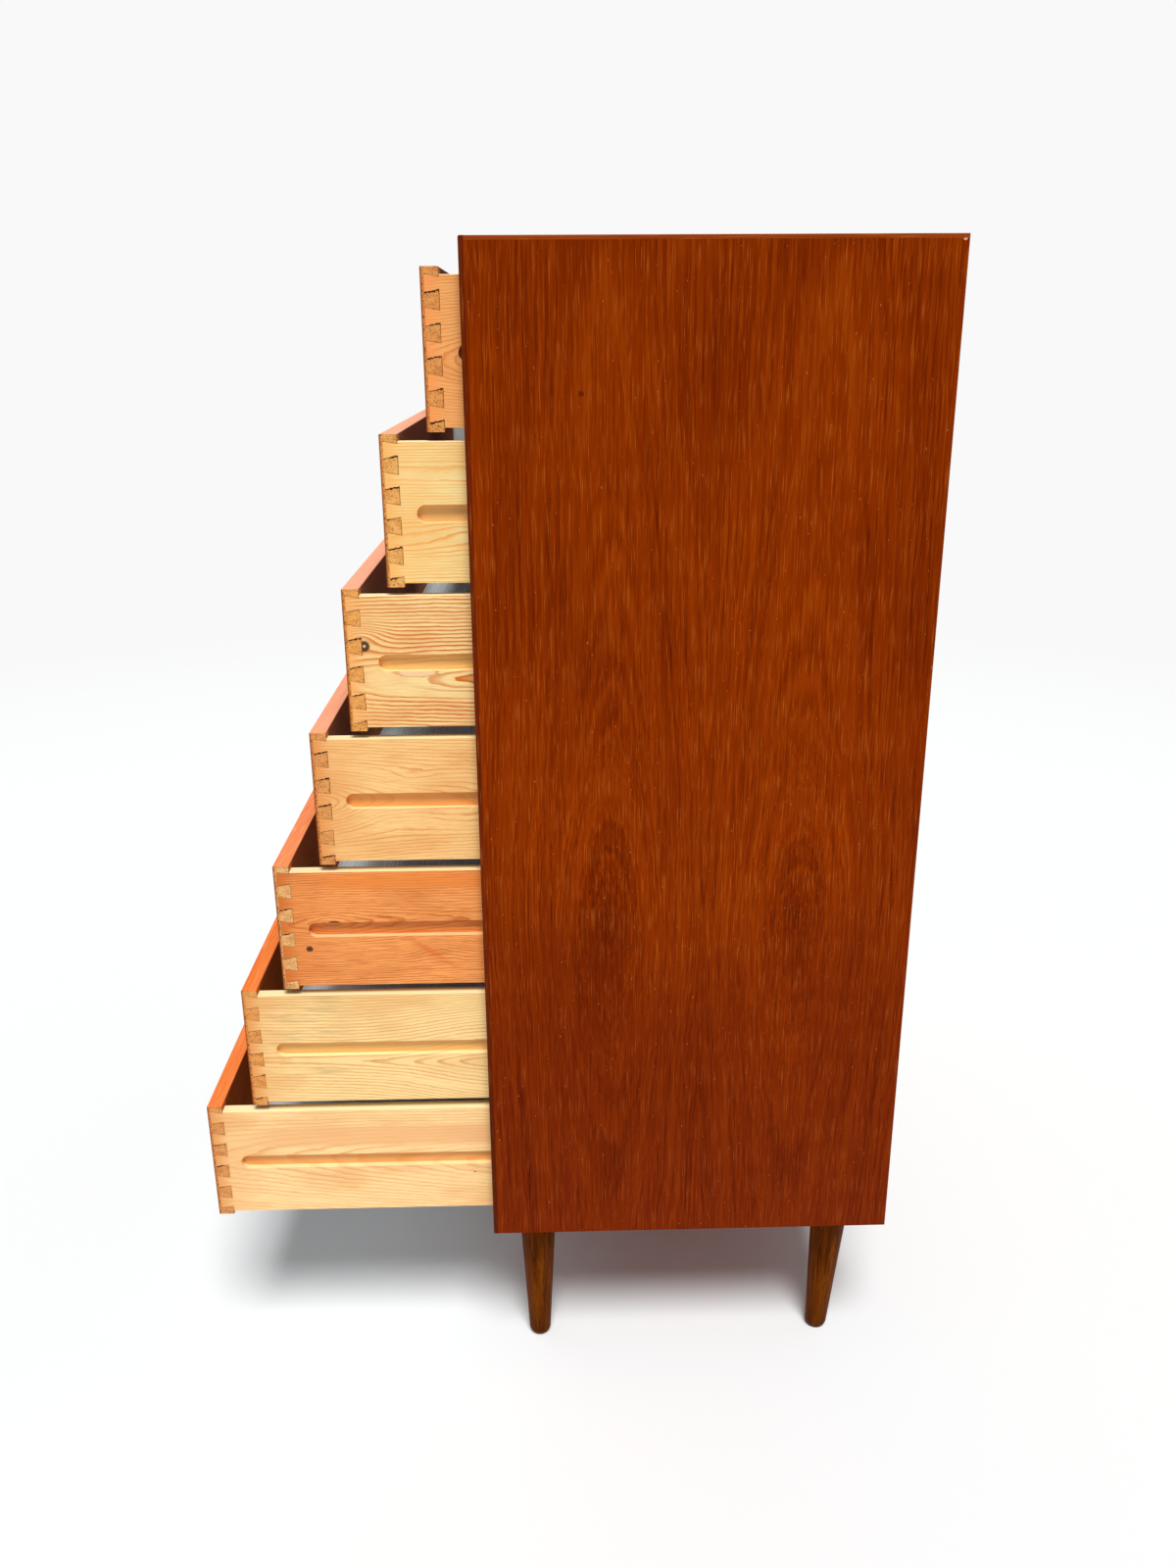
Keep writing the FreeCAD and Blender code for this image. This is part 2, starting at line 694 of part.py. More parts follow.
def drawer_bottom(drawer):
    """A thin panel in the grooves, notched at its front corners to pass the front's pins."""
    body = new_body("bottom")
    reach = "(drawer_inner_width / 2 + bottom_groove - joint_clearance)"
    neck = "(drawer_inner_width / 2 - joint_clearance)"
    tongue = "front_thickness - bottom_groove + joint_clearance"
    shoulder = "front_thickness + joint_clearance"
    corners = [(f"-{neck}", tongue), (neck, tongue), (neck, shoulder), (reach, shoulder),
               (reach, "back_rear_face"), (f"-{reach}", "back_rear_face"), (f"-{reach}", shoulder),
               (f"-{neck}", shoulder)]
    pad(body, "XY_Plane", "drawer_bottom_level", "floor_level", corners)
    keep(body, f"drawer_{drawer}_bottom", f"drawer_y_{drawer}", f"drawer_z_{drawer}")


def drawer_pull(drawer):
    """A lip pull, hollowed below for the fingers, on two pegs that go into the front."""
    body = new_body("pull")
    half = "pull_length / 2"
    nose = "-pull_projection"
    profile = [("0", "pull_level - pull_drop"), ("0", "pull_level + pull_rise"),
               (nose, "pull_level + pull_rise"), (nose, "pull_level + pull_rise - pull_nose"),
               ("-pull_projection / 2", "pull_level")]
    pad(body, "YZ_Plane", f"-{half}", half, profile)
    round_edges(body, "pull_end_round", along("z", y=nose))
    round_edges(body, "pull_round", along("x", y=nose, z="pull_level + pull_rise"))
    pegs = [(f"{side} * peg_spacing / 2", "pull_level", "peg_diameter / 2") for side in SIDES]
    pad(body, "XZ_Plane", "0", "peg_length", circles=pegs)
    keep(body, f"drawer_{drawer}_pull", f"drawer_y_{drawer}", f"drawer_z_{drawer}")


# Putting it together

def build():
    fill_sheets()
    holes = carcass_holes()
    for side in SIDES:
        side_panel(side, holes)
    level_panel("top_panel", "panel_height - top_thickness", "panel_height",
                "panel_height - top_thickness - overrun", "panel_height - top_thickness + back_lap", holes)
    level_panel("bottom_panel", "0", "bottom_thickness",
                "bottom_thickness - back_lap", "bottom_thickness + overrun", holes)
    back_panel(holes)
    lippings()
    runners()
    trim = leg_trim()
    for label, x, y, rake in leg_places():
        leg(label, x, y, rake, trim)
    leg_plates()
    leg_studs()
    loose("leg_plate_screws", [turned(wood_screw(), place, axis) for place, axis in plate_screw_places()])
    loose("runner_screws", [turned(wood_screw(), place, axis) for place, axis in runner_screw_places()])
    loose("back_screws", [turned(wood_screw(), place, axis) for place, axis in back_screw_places()])
    dowel = bar(number("dowel_diameter"), number("dowel_length"), 0)
    loose("carcass_dowels", [turned(dowel, place, axis) for place, axis in dowel_places()])
    for drawer in range(1, DRAWERS + 1):
        drawer_front(drawer)
        for side in SIDES:
            drawer_side(drawer, side)
        drawer_back(drawer)
        drawer_bottom(drawer)
        drawer_pull(drawer)


def check_and_write():
    """Stop on anything that failed, then write one file for each piece."""
    doc.recompute()
    for feature in doc.Objects:
        if {"Invalid", "Error"} & set(feature.State):
            raise RuntimeError(f"{feature.Label} did not build: {feature.State}")
        if feature.TypeId == "PartDesign::Pocket":
            if not feature.Shape.Volume < feature.BaseFeature.Shape.Volume:
                raise RuntimeError(f"{feature.Label} cuts nothing")
    for piece in nodes:
        if piece.Shape.isNull() or not piece.Shape.isValid() or not piece.Shape.Solids:
            raise RuntimeError(f"{piece.Label} has no valid solid")
    os.makedirs("parts", exist_ok=True)
    for piece in nodes:
        piece.Shape.exportStep(f"parts/{piece.Label}.step")
        print(piece.Label, len(piece.Shape.Solids), round(piece.Shape.Volume))
    print(len(nodes), "pieces written")


build()
check_and_write()
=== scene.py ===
# %% [markdown]
# # A tall teak chest with seven dovetailed drawers
#
# The boards, drawers, legs and fixings of this chest come as finished solids, so this lesson is about how
# it looks: oiled teak veneer outside, pine drawer sides, end grain in the dovetails, and a satin grey
# drawer floor. The first cell loads the solids. They stay where they are, and each later cell gives some of
# them a finish.

# %% Load the packed chest
import math

import bpy
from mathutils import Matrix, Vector


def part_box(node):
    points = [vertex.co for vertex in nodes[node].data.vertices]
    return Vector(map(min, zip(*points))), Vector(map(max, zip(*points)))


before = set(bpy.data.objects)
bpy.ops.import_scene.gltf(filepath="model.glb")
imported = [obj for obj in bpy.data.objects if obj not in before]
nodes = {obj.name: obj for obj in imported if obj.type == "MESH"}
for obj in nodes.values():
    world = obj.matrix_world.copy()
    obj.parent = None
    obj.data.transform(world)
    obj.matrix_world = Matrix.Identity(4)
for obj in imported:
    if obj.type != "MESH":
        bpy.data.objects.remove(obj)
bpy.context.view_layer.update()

# %% [markdown]
# ## Measures
#
# Grain is easiest to think about in millimetres from a corner of the board it runs through. Those corners
# are read from the solids, so a finish still fits when the chest is drawn at another size. The dovetails
# have their own few numbers, because their gap lines are drawn where the two woods meet.

# %% Read the corners of the boards
CARCASS_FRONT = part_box("front_edge_lippings")[0].y
PANEL_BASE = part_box("side_panel_right")[0].z
DRAWERS = len([name for name in nodes if name.endswith("_front")])
FRONT_LOW = {drawer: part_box(f"drawer_{drawer}_front")[0] for drawer in range(1, DRAWERS + 1)}
FRONT_HIGH = {drawer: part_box(f"drawer_{drawer}_front")[1] for drawer in range(1, DRAWERS + 1)}
MILLIMETRE = 0.001
FRONT_TALL = (FRONT_HIGH[1].z - FRONT_LOW[1].z) / MILLIMETRE
FRONT_THICK = (FRONT_HIGH[1].y - FRONT_LOW[1].y) / MILLIMETRE
FRONT_HALF = FRONT_HIGH[1].x / MILLIMETRE
SIDE_THICK = (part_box("drawer_1_side_right")[1].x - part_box("drawer_1_side_right")[0].x) / MILLIMETRE
LAP = 3
PIN_STEP = 25
PIN_TIP = 10.7
PIN_ROOT = 15
FIRST_PIN_DROP = 0.3
print(DRAWERS, "drawers; fronts", round(FRONT_TALL, 1), "mm tall and", round(FRONT_THICK, 1), "mm thick")

# %% [markdown]
# ## Camera
#
# The chest is seen from its right side, a little from above, with a fairly wide lens, so its upright edges
# lean together towards the floor. A camera could be aimed with a constraint, but plain angles are simpler
# to read: the first tips the camera up from looking straight down, and the last turns it round to look
# along -X.

# %% Place the camera
LENS = 29.0
SENSOR = 36.0
SEEN_FROM, SEEN_TO = 0.05, 60
CAMERA_PLACE = (1.3941, 0.0223, 1.0228)
CAMERA_ANGLES = (70.634, 0.329, 88.469)

camera_data = bpy.data.cameras.new("side view")
camera_data.lens = LENS
camera_data.sensor_width = SENSOR
camera_data.clip_start = SEEN_FROM
camera_data.clip_end = SEEN_TO
camera = bpy.data.objects.new("side view", camera_data)
camera.location = CAMERA_PLACE
camera.rotation_euler = [math.radians(angle) for angle in CAMERA_ANGLES]
bpy.context.scene.collection.objects.link(camera)
bpy.context.scene.camera = camera
print("camera at", [round(value, 2) for value in camera.location])

# %% [markdown]
# ## Writing a finish as sums
#
# A finish is a small machine of nodes. Placing and linking them one by one hides the idea behind it, and a
# picture of the nodes is hard to read back. A class that stands for one output of a node helps: a sum of
# two such values adds the Math node it needs. A finish can then be written as ordinary arithmetic, and
# forms like 1 - mask work too.

# %% A value that changes over a surface
class Value:
    """One output of a node. Arithmetic on it adds Math nodes."""

    def __init__(self, finish, socket):
        self.finish = finish
        self.socket = socket

    def math(self, operation, *others):
        return self.finish.math(operation, self, *others)

    def __add__(self, other):
        return self.math("ADD", other)

    def __radd__(self, other):
        return self.finish.math("ADD", other, self)

    def __sub__(self, other):
        return self.math("SUBTRACT", other)

    def __rsub__(self, other):
        return self.finish.math("SUBTRACT", other, self)

    def __mul__(self, other):
        return self.math("MULTIPLY", other)

    def __rmul__(self, other):
        return self.finish.math("MULTIPLY", other, self)

    def __truediv__(self, other):
        return self.math("DIVIDE", other)

    def __rtruediv__(self, other):
        return self.finish.math("DIVIDE", other, self)

    def __pow__(self, other):
        return self.math("POWER", other)

    def __mod__(self, other):
        return self.math("FLOORED_MODULO", other)

    def __abs__(self):
        return self.math("ABSOLUTE")


print("a Value turns + - * / ** % and abs() into Math nodes")

# %% [markdown]
# ## One class for a material
#
# Every finish needs the same groups of nodes: lengths in millimetres, noise, soft steps, colour ramps and a
# bump. They could be copied from material to material, or kept in node groups. The methods of one class are
# shorter, and each finish then reads like a recipe. One method, `node`, adds any node: first its settings,
# then what its sockets get.

# %% A finish and its nodes
class Finish:
    """A material, with short ways to add the nodes that wood and metal need."""

    def __init__(self, name, tree=None):
        if tree is None:
            self.material = bpy.data.materials.new(name)
            self.material.use_nodes = True
            tree = self.material.node_tree
        self.tree = tree
        self.shader = tree.nodes.get("Principled BSDF")

    def node(self, kind, settings=None, sockets=None, out=0):
        """Add a node: its settings first, then the number, colour or Value of each socket."""
        node = self.tree.nodes.new(f"ShaderNode{kind}")
        for name, setting in (settings or {}).items():
            if name == "stops":
                set_stops(node.color_ramp, setting)
            else:
                setattr(node, name, setting)
        for key, given in (sockets or {}).items():
            self.give(node.inputs[key], given)
        if isinstance(out, tuple):
            return [Value(self, node.outputs[name]) for name in out]
        return Value(self, node.outputs[out]) if node.outputs else None

    def give(self, socket, given):
        """Link a Value to a socket, or set the socket's own number or colour."""
        if isinstance(given, Value):
            self.tree.links.new(given.socket, socket)
        else:
            socket.default_value = given

    def set(self, **sockets):
        """Give the shader's sockets: set(base_color=..., roughness=0.4)."""
        for name, given in sockets.items():
            self.give(self.shader.inputs[name.replace("_", " ").title().replace("Ior", "IOR")], given)

    def math(self, operation, *terms):
        return self.node("Math", {"operation": operation}, dict(enumerate(terms)))

    def join(self, x, y, z=0.0):
        return self.node("CombineXYZ", sockets={0: x, 1: y, 2: z})

    def lengths(self, origin=(0, 0, 0)):
        """Millimetres from a point of the chest, along X, Y and Z."""
        place = self.node("TexCoord", out="Object")
        moved = self.node("VectorMath", {"operation": "SUBTRACT"}, {0: place, 1: origin})
        scaled = self.node("VectorMath", {"operation": "SCALE"}, {0: moved, "Scale": 1 / MILLIMETRE})
        return self.node("SeparateXYZ", sockets={0: scaled}, out=("X", "Y", "Z"))

    def facing(self):
        """How far the surface faces along X, Y and Z, from -1 to 1."""
        normal = self.node("TexCoord", out="Normal")
        return self.node("SeparateXYZ", sockets={0: normal}, out=("X", "Y", "Z"))

    def noise(self, x, y, z, detail=2.0, roughness=0.5):
        """Soft random hills, about one unit apart in each direction."""
        return self.node("TexNoise", sockets={"Vector": self.join(x, y, z), "Scale": 1.0,
                                              "Detail": detail, "Roughness": roughness})

    def spots(self, x, y, z, low, high, detail=1, roughness=0.5):
        """Noise of which only the hills are kept: 0 under low, 1 over high."""
        return self.smooth(self.noise(x, y, z, detail, roughness), low, high)

    def wave(self, x, y, seed):
        """Noise that swings about 0, to push rings aside."""
        return self.noise(x, y, seed) - 0.5

    def smooth(self, value, low, high):
        """0 below low, 1 above high, and a soft step between."""
        return self.node("MapRange", {"interpolation_type": "SMOOTHSTEP"},
                         {"Value": value, "From Min": low, "From Max": high})

    def bump_round(self, along, across):
        """1 in the middle of a soft hill, fading to 0; both lengths are in hill sizes."""
        return self.math("EXPONENT", (along * along + across * across) * -1)

    def distance(self, *lengths):
        return self.node("VectorMath", {"operation": "LENGTH"}, {0: self.join(*lengths)}, out="Value")

    def ramp(self, value, *stops):
        return self.node("ValToRGB", {"stops": stops}, {0: value})

    def mix(self, share, below, above, blend="MIX"):
        """Lay one colour over another by a share from 0 to 1."""
        settings = {"data_type": "RGBA", "blend_type": blend}
        return self.node("Mix", settings, {0: share, 6: below, 7: above}, out=2)

    def bump(self, height, millimetres, strength):
        """Raise the surface by up to some millimetres where height is 1."""
        sockets = {"Height": height, "Distance": millimetres * MILLIMETRE, "Strength": strength}
        self.set(normal=self.node("Bump", {}, sockets))


finish_methods = [name for name in vars(Finish) if not name.startswith("__")]
print("a Finish can", ", ".join(finish_methods))

# %% [markdown]
# ## Colours, and which piece wears what
#
# Colours are easiest to compare with the real wood as a screen shows them, from 0 to 255, but shaders work
# with light. One function turns the first into the second. The solids come without finishes, so another
# function puts a material on the pieces that it is named.

# %% Colours and dressing
def set_stops(ramp, stops):
    """Fill a colour ramp from pairs of a position and a colour."""
    while len(ramp.elements) < len(stops):
        ramp.elements.new(1.0)
    for element, (position, colour) in zip(ramp.elements, stops):
        element.position = position
        element.color = colour


def tint(red, green, blue):
    """Turn a colour as a screen shows it, from 0 to 255, into the light values that shaders work with."""
    shares = [channel / 255 for channel in (red, green, blue)]
    linear = [share / 12.92 if share <= 0.04045 else ((share + 0.055) / 1.055) ** 2.4 for share in shares]
    return (*linear, 1.0)


def dress(finish, *names):
    """Put one finish on some nodes of the chest."""
    for name in names:
        mesh = nodes[name].data
        mesh.materials.clear()
        mesh.materials.append(finish.material)


print("shader helpers ready; a middle grey is", [round(channel, 3) for channel in tint(128, 128, 128)])

# %% [markdown]
# ## Teak
#
# Teak veneer shows three things at once: broad bands of growth rings, fine dark lines inside them, and
# short pale pores that run with the grain. A picture of wood would do, but it would repeat and stretch.
# Noise that is stretched along the grain gives all three, and the bands follow whatever ring pattern they
# are handed. Each finish has a number of its own, its seed, so that no two boards get the same noise.

# %% Teak from lengths along, across and through the rings
TEAK_DEEP = tint(92, 22, 0)
TEAK_MID = tint(136, 45, 0)
TEAK_WARM = tint(164, 70, 6)
TEAK_PORE = tint(196, 104, 36)
TONES = (0.28, 0.5, 0.74)
PORES_FROM, PORES_FULL = 0.56, 0.72
PORE_SHARE = 0.45

# How fast each layer changes in a millimetre: through the rings or across the grain, and along it
BANDS = (0.07, 0.0022)
LINES = (0.55, 0.004)
FIBRES = (0.6, 0.009)
PORES = (1.0, 0.03)

# How much of the tone each layer makes, and the lift that keeps its middle at a half
BAND_SHARE = 0.2
LINE_SHARE = 0.5
FIBRE_SHARE = 0.5
TONE_LIFT = 0.14


def teak_tone(finish, along, across, rings, seed, line_share=LINE_SHARE):
    """Darkness of teak from 0 to 1, and its pores, from millimetres along and across the grain."""
    bands = finish.noise(rings * BANDS[0], along * BANDS[1], seed, detail=1)
    lines = finish.noise(rings * LINES[0], along * LINES[1], seed + 3, detail=3, roughness=0.6)
    fibres = finish.noise(across * FIBRES[0], along * FIBRES[1], seed + 7, detail=3, roughness=0.65)
    pores = finish.spots(across * PORES[0], along * PORES[1], seed + 11, PORES_FROM, PORES_FULL, detail=2)
    tone = bands * BAND_SHARE + lines * line_share + fibres * FIBRE_SHARE + (TONE_LIFT - line_share / 2)
    return tone, pores


def teak_colour(finish, tone, pores, deep=TEAK_DEEP, mid=TEAK_MID, warm=TEAK_WARM, pore=TEAK_PORE):
    """Teak's colour, from its deep lines to its pale pores."""
    wood = finish.ramp(tone, *zip(TONES, (deep, mid, warm)))
    return finish.mix(pores * PORE_SHARE, wood, pore)


OIL_ROUGHNESS = 0.42
OIL_SHINE = 0.08
OIL_TINT = tint(255, 170, 90)


def satin_teak(finish, tone, pores, roughness=OIL_ROUGHNESS):
    """The oiled surface: pores sit a little lower and duller than the wood between them."""
    finish.set(roughness=roughness + pores * 0.12 - (tone - 0.5) * 0.1, specular_ior_level=OIL_SHINE,
               specular_tint=OIL_TINT)
    finish.bump(tone * 0.4 - pores, millimetres=0.08, strength=0.5)


teak_ends = [[round(part, 3) for part in colour[:3]] for colour in (TEAK_DEEP, TEAK_WARM)]
print("teak from", teak_ends[0], "to", teak_ends[1])

# %% [markdown]
# ## The side panels
#
# Each side is one sheet of flat-cut veneer. Its rings close into two long eyes side by side, low on the
# panel, and meet in a row of V shapes between them. The distance to two stretched centres has just those
# level lines: near a centre they are long ellipses, and where the two sets meet they fold into V shapes.

# %% Rings with two eyes
# Where the eyes lie, how far they are stretched, how far from them rings run straight, and how far out they
# are dark and frayed
EYES = ((117, 341), (293, 349))
EYE_STRETCH = 0.42
EYE_CALM = 190
EYE_MARK = 20
EYE_FRAYED = 34
EYE_BLUNT = 4.0
EYES_MEET = 6.0

# Each wave's steps in a millimetre along Y and Z, its seed, and how many millimetres it pushes the rings
SWAY = (0.012, 0.003, 4.0, 16)
RIPPLE = (0.06, 0.009, 9.0, 4)
JAGGED = (0.4, 0.014, 14.0, 5)
ZIGZAG = (0.55, 0.045, 18.0, 13)


def panel_rings(finish, y, z):
    """Distance through the growth rings on a side panel, in millimetres."""
    sway = finish.wave(y * SWAY[0], z * SWAY[1], SWAY[2])
    ripple = finish.wave(y * RIPPLE[0], z * RIPPLE[1], RIPPLE[2])
    circles = []
    for eye_y, eye_z in EYES:
        rise = z - eye_z
        calmed = rise / (1 + abs(rise) / EYE_CALM)
        circles.append(finish.distance(y - eye_y, calmed * EYE_STRETCH, EYE_BLUNT))
    nearest = finish.math("SMOOTH_MIN", circles[0], circles[1], EYES_MEET)
    jagged = finish.wave(y * JAGGED[0], z * JAGGED[1], JAGGED[2])
    zigzag = finish.wave(y * ZIGZAG[0], z * ZIGZAG[1], ZIGZAG[2])
    close = finish.math("EXPONENT", (nearest / EYE_FRAYED) ** 2 * -1)
    return nearest + sway * SWAY[3] + ripple * RIPPLE[3] + jagged * JAGGED[3] + zigzag * close * ZIGZAG[3]


print("panel eyes", [eye_y for eye_y, eye_z in EYES], "mm behind the front")

# %% [markdown]
# ## Marks of use and painted shade on the panels
#
# An old panel isn't even: it has pale specks, and the right one has a dark spot and a chipped rear corner.
# Such marks could be painted on a picture, but a few soft spots at measured places do the same, stay sharp
# from close by, and can be moved by changing one number. The panel is also darkened in random patches, and
# towards the floor, which is painted shade.

# %% Veneer with its small marks of use
# Each chip has its place, width and height, and the spot its place and size
PALE_CHIPS = ((396.5, 931, 2.2, 1.6), (383, 932, 8, 0.6))
DARK_SPOT = (95, 817, 3.2)
# Painted shade towards the floor, also used for random darker patches
PATCH_AND_FLOOR_SHADE = tint(197, 169, 188)
SPECK = tint(206, 122, 66)
SPOT = tint(70, 16, 2)
CHIP = tint(214, 176, 150)

# How much of the tone fine lines make, what the eyes add to them, how much darker the eyes are, and how far
# patches of the panel differ
PANEL_LINES = 0.6
EYE_LINES = 0.15
EYE_DARK = 0.14
MOTTLE = 0.08

# The heights between which painted shade darkens the panel towards the floor, and how strong each mark is
FLOOR_SHADE_HEIGHTS = (60, 520)
PATCH_AND_FLOOR_SHADE_SHARE = 0.7
SPECK_SHARE = 0.55
SPOT_SHARE = 0.7


def side_panel_finish(name, side, seed):
    """Flat-cut teak veneer for one side panel, with a few specks, a spot and a chipped rear corner."""
    finish = Finish(name)
    y, z = finish.lengths((0, CARCASS_FRONT, PANEL_BASE))[1:]
    rings = panel_rings(finish, y, z)
    near_eye = finish.math("EXPONENT", (rings / EYE_MARK) ** 2 * -1)
    tone, pores = teak_tone(finish, z, y, rings, seed, near_eye * EYE_LINES + PANEL_LINES)
    mottle = finish.noise(y * 0.06, z * 0.035, seed + 25)
    tone = tone + (mottle - 0.5) * MOTTLE
    colour = teak_colour(finish, tone - near_eye * EYE_DARK, pores)
    # Random darker patches, and painted shade that darkens the panel towards the floor
    clouds = finish.noise(y * 0.009, z * 0.004, seed + 20)
    darker = finish.smooth(clouds + (1 - finish.smooth(z, *FLOOR_SHADE_HEIGHTS)) * 0.5, 0.42, 0.95)
    colour = finish.mix(darker * PATCH_AND_FLOOR_SHADE_SHARE, colour, PATCH_AND_FLOOR_SHADE, "MULTIPLY")
    specks = finish.spots(y * 0.5, z * 0.2, seed + 30, 0.74, 0.8)
    colour = finish.mix(specks * SPECK_SHARE, colour, SPECK)
    if side > 0:
        spot_y, spot_z, size = DARK_SPOT
        spot = 1 - finish.smooth(finish.distance(y - spot_y, z - spot_z), size * 0.4, size)
        colour = finish.mix(spot * SPOT_SHARE, colour, SPOT)
        frayed = finish.noise(y * 0.8, z * 0.8, seed)
        for chip_y, chip_z, wide, tall in PALE_CHIPS:
            reach = finish.distance((y - chip_y) / wide, (z - chip_z) / tall) + frayed * 1.2
            colour = finish.mix(1 - finish.smooth(reach, 1.15, 1.4), colour, CHIP)
    finish.set(base_color=colour)
    satin_teak(finish, tone, pores)
    return finish


dress(side_panel_finish("teak veneer right", 1, 0.0), "side_panel_right")
dress(side_panel_finish("teak veneer left", -1, 50.0), "side_panel_left")
print("two side panels in flat-cut teak")

# %% [markdown]
# ## Top, bottom and lippings
#
# The top and bottom boards are veneered with the grain running from side to side. Thin solid strips, the
# lippings, hide the boards' raw edges. Their grain runs along their length, so one finish can choose its
# direction by which strip it is on: the upright ones lie outside the openings, and the level ones between
# them.

# %% Boards and strips with their grain along one axis
INNER_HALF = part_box("top_panel")[1].x / MILLIMETRE
BOW_MIDDLE = (60, 170)
BOW_BLUNT = 5.0
BOARD_SWAY = 30
LIPPING_TEAK = (tint(74, 20, 4), tint(106, 34, 8), tint(134, 50, 14))
STRIP_TEAK = (tint(112, 38, 8), tint(150, 62, 18), tint(176, 84, 32))
LIPPING_LOW = tint(66, 14, 2)
LIPPING_DARK = (60, 420)


def straight_teak(name, grain, seed, deep=TEAK_DEEP, mid=TEAK_MID, warm=TEAK_WARM, bow=0.0):
    """Solid or veneered teak whose grain runs along one axis, straight or in a shallow bow."""
    finish = Finish(name)
    x, y, z = finish.lengths((0, CARCASS_FRONT, PANEL_BASE))
    along, across, other = {"x": (x, y, z), "y": (y, z, x), "z": (z, y, x)}[grain]
    sway = finish.wave(along * 0.004, across * 0.012, seed)
    rings = across + other * 0.6 + sway * BOARD_SWAY
    if bow:
        middle_along, middle_across = BOW_MIDDLE
        rings = finish.distance((along - middle_along) * bow, across - middle_across, BOW_BLUNT)
        rings = rings + sway * BOARD_SWAY
    tone, pores = teak_tone(finish, along, across + other * 0.8, rings, seed)
    finish.set(base_color=teak_colour(finish, tone, pores, deep, mid, warm))
    satin_teak(finish, tone, pores)
    return finish


def lipping_finish(seed):
    """Darker solid teak, upright on the sides' front edges and level on the other two."""
    finish = Finish("teak front lipping")
    x, y, z = finish.lengths((0, CARCASS_FRONT, PANEL_BASE))
    upright = finish.math("GREATER_THAN", abs(x), INNER_HALF)
    along = x + (z - x) * upright
    across = z + (x - z) * upright
    tone, pores = teak_tone(finish, along, across + y, across * 1.5 + y * 1.5, seed)
    colour = teak_colour(finish, tone, pores, *LIPPING_TEAK)
    low = 1 - finish.smooth(z, *LIPPING_DARK)
    finish.set(base_color=finish.mix(low * 0.6, colour, LIPPING_LOW))
    satin_teak(finish, tone, pores)
    return finish


dress(straight_teak("teak top board", "x", 70.0, bow=0.14), "top_panel")
dress(straight_teak("teak bottom board", "x", 75.0), "bottom_panel")
dress(lipping_finish(80.0), "front_edge_lippings")
dress(straight_teak("teak top strip", "y", 85.0, *STRIP_TEAK), "top_edge_lippings")
print("top, bottom and lippings in teak")

# %% [markdown]
# ## The dovetail lines
#
# On each side face of a drawer, wedge-shaped pins of the front show as end grain between the tails of the
# side. The joint isn't perfectly tight: dark lines and small crumbled spots mark it, mostly above and
# behind each pin. The solids have the wedges, so the finish only needs the distance to the nearest wedge's
# edge.

# %% Where the gaps between pins and tails show
# How loose each drawer's joints are, from 0 to 1
LOOSE = {1: 1.0, 2: 0.75, 3: 0.5, 4: 0.85, 5: 0.45, 6: 0.6, 7: 0.6}
GAP = tint(58, 26, 10)

# In millimetres: the thinnest line, what worn places add to it, and how far it wanders
THIN_GAP = 0.22
WORN_GAP = 0.95
GAP_WANDER = 1.2


def dovetail_gaps(finish, x, y, z, drawer):
    """1 on the dark lines round the pins on a drawer's outer side faces, else 0."""
    seed = 100.0 + drawer * 13
    slope = (PIN_ROOT - PIN_TIP) / 2 / (FRONT_THICK - LAP)
    half_pin = PIN_TIP / 2 + (y - LAP) * slope
    drop = FRONT_TALL - FIRST_PIN_DROP + PIN_STEP / 2 - z
    offset = (drop % PIN_STEP) - PIN_STEP / 2
    above = finish.math("LESS_THAN", offset, 0.0)
    crumble = finish.noise(y * 0.55, z * 0.55, seed, detail=3, roughness=0.7)
    tight = 0.6 - 0.3 * LOOSE[drawer]
    looseness = finish.spots(y * 0.05, z * 0.055, seed + 9, tight, tight + 0.18)
    wander = (crumble - 0.5) * GAP_WANDER
    width = THIN_GAP + finish.smooth(crumble, 0.36, 0.66) * (0.25 + above * looseness * WORN_GAP)
    edge = 1 - finish.smooth(abs(abs(offset) - half_pin + wander * 0.5), width * 0.6, width + 0.12)
    inside = finish.math("GREATER_THAN", y, LAP) * finish.math("LESS_THAN", y, FRONT_THICK + 0.2)
    root = 1 - finish.smooth(abs(y - FRONT_THICK + wander * 0.4), 0.1, 0.4)
    root = root * finish.math("LESS_THAN", abs(offset), PIN_ROOT / 2) * (0.45 + looseness * 0.5)
    dashes = finish.spots(y * 0.1, z * 0.32, seed + 15, 0.49, 0.6, detail=2)
    tail_end = (1 - finish.smooth(abs(y - LAP + 1.2 + wander), 0.2, 0.6)) * dashes
    low = finish.math("LESS_THAN", z, PIN_TIP / 2 + 2) * inside
    crumbs = finish.smooth(crumble, 0.57, 0.66) * low * (0.4 + above)
    lines = finish.math("MAXIMUM", edge * inside * (0.35 + above * (0.3 + looseness * 0.5)), root)
    lines = finish.math("MAXIMUM", lines, finish.math("MAXIMUM", tail_end * 0.75, crumbs * 0.8))
    return lines * finish.math("GREATER_THAN", abs(x), FRONT_HALF - 0.5)


print("a pin every", PIN_STEP, "mm, with gap lines from", THIN_GAP, "mm wide")

# %% [markdown]
# ## End grain
#
# Where the ends of a front show, the wood is cut across: pale, full of dark pores and crossed by faint
# rings. Round dots thrown at random would look printed. Two layers of noise are closer to wood: a coarse
# one for the rings, and a fine one of which only the highest spots are kept, for the pores.

# %% End grain
# The colour of each front's end grain, as a screen shows it
END_WOOD = {1: (242, 168, 96), 2: (250, 186, 108), 3: (248, 178, 98), 4: (236, 166, 100), 5: (242, 188, 124),
            6: (236, 166, 94), 7: (228, 160, 98)}
END_SPECK = tint(104, 54, 22)
END_DARK_SHARES = (0.82, 0.7, 0.57)


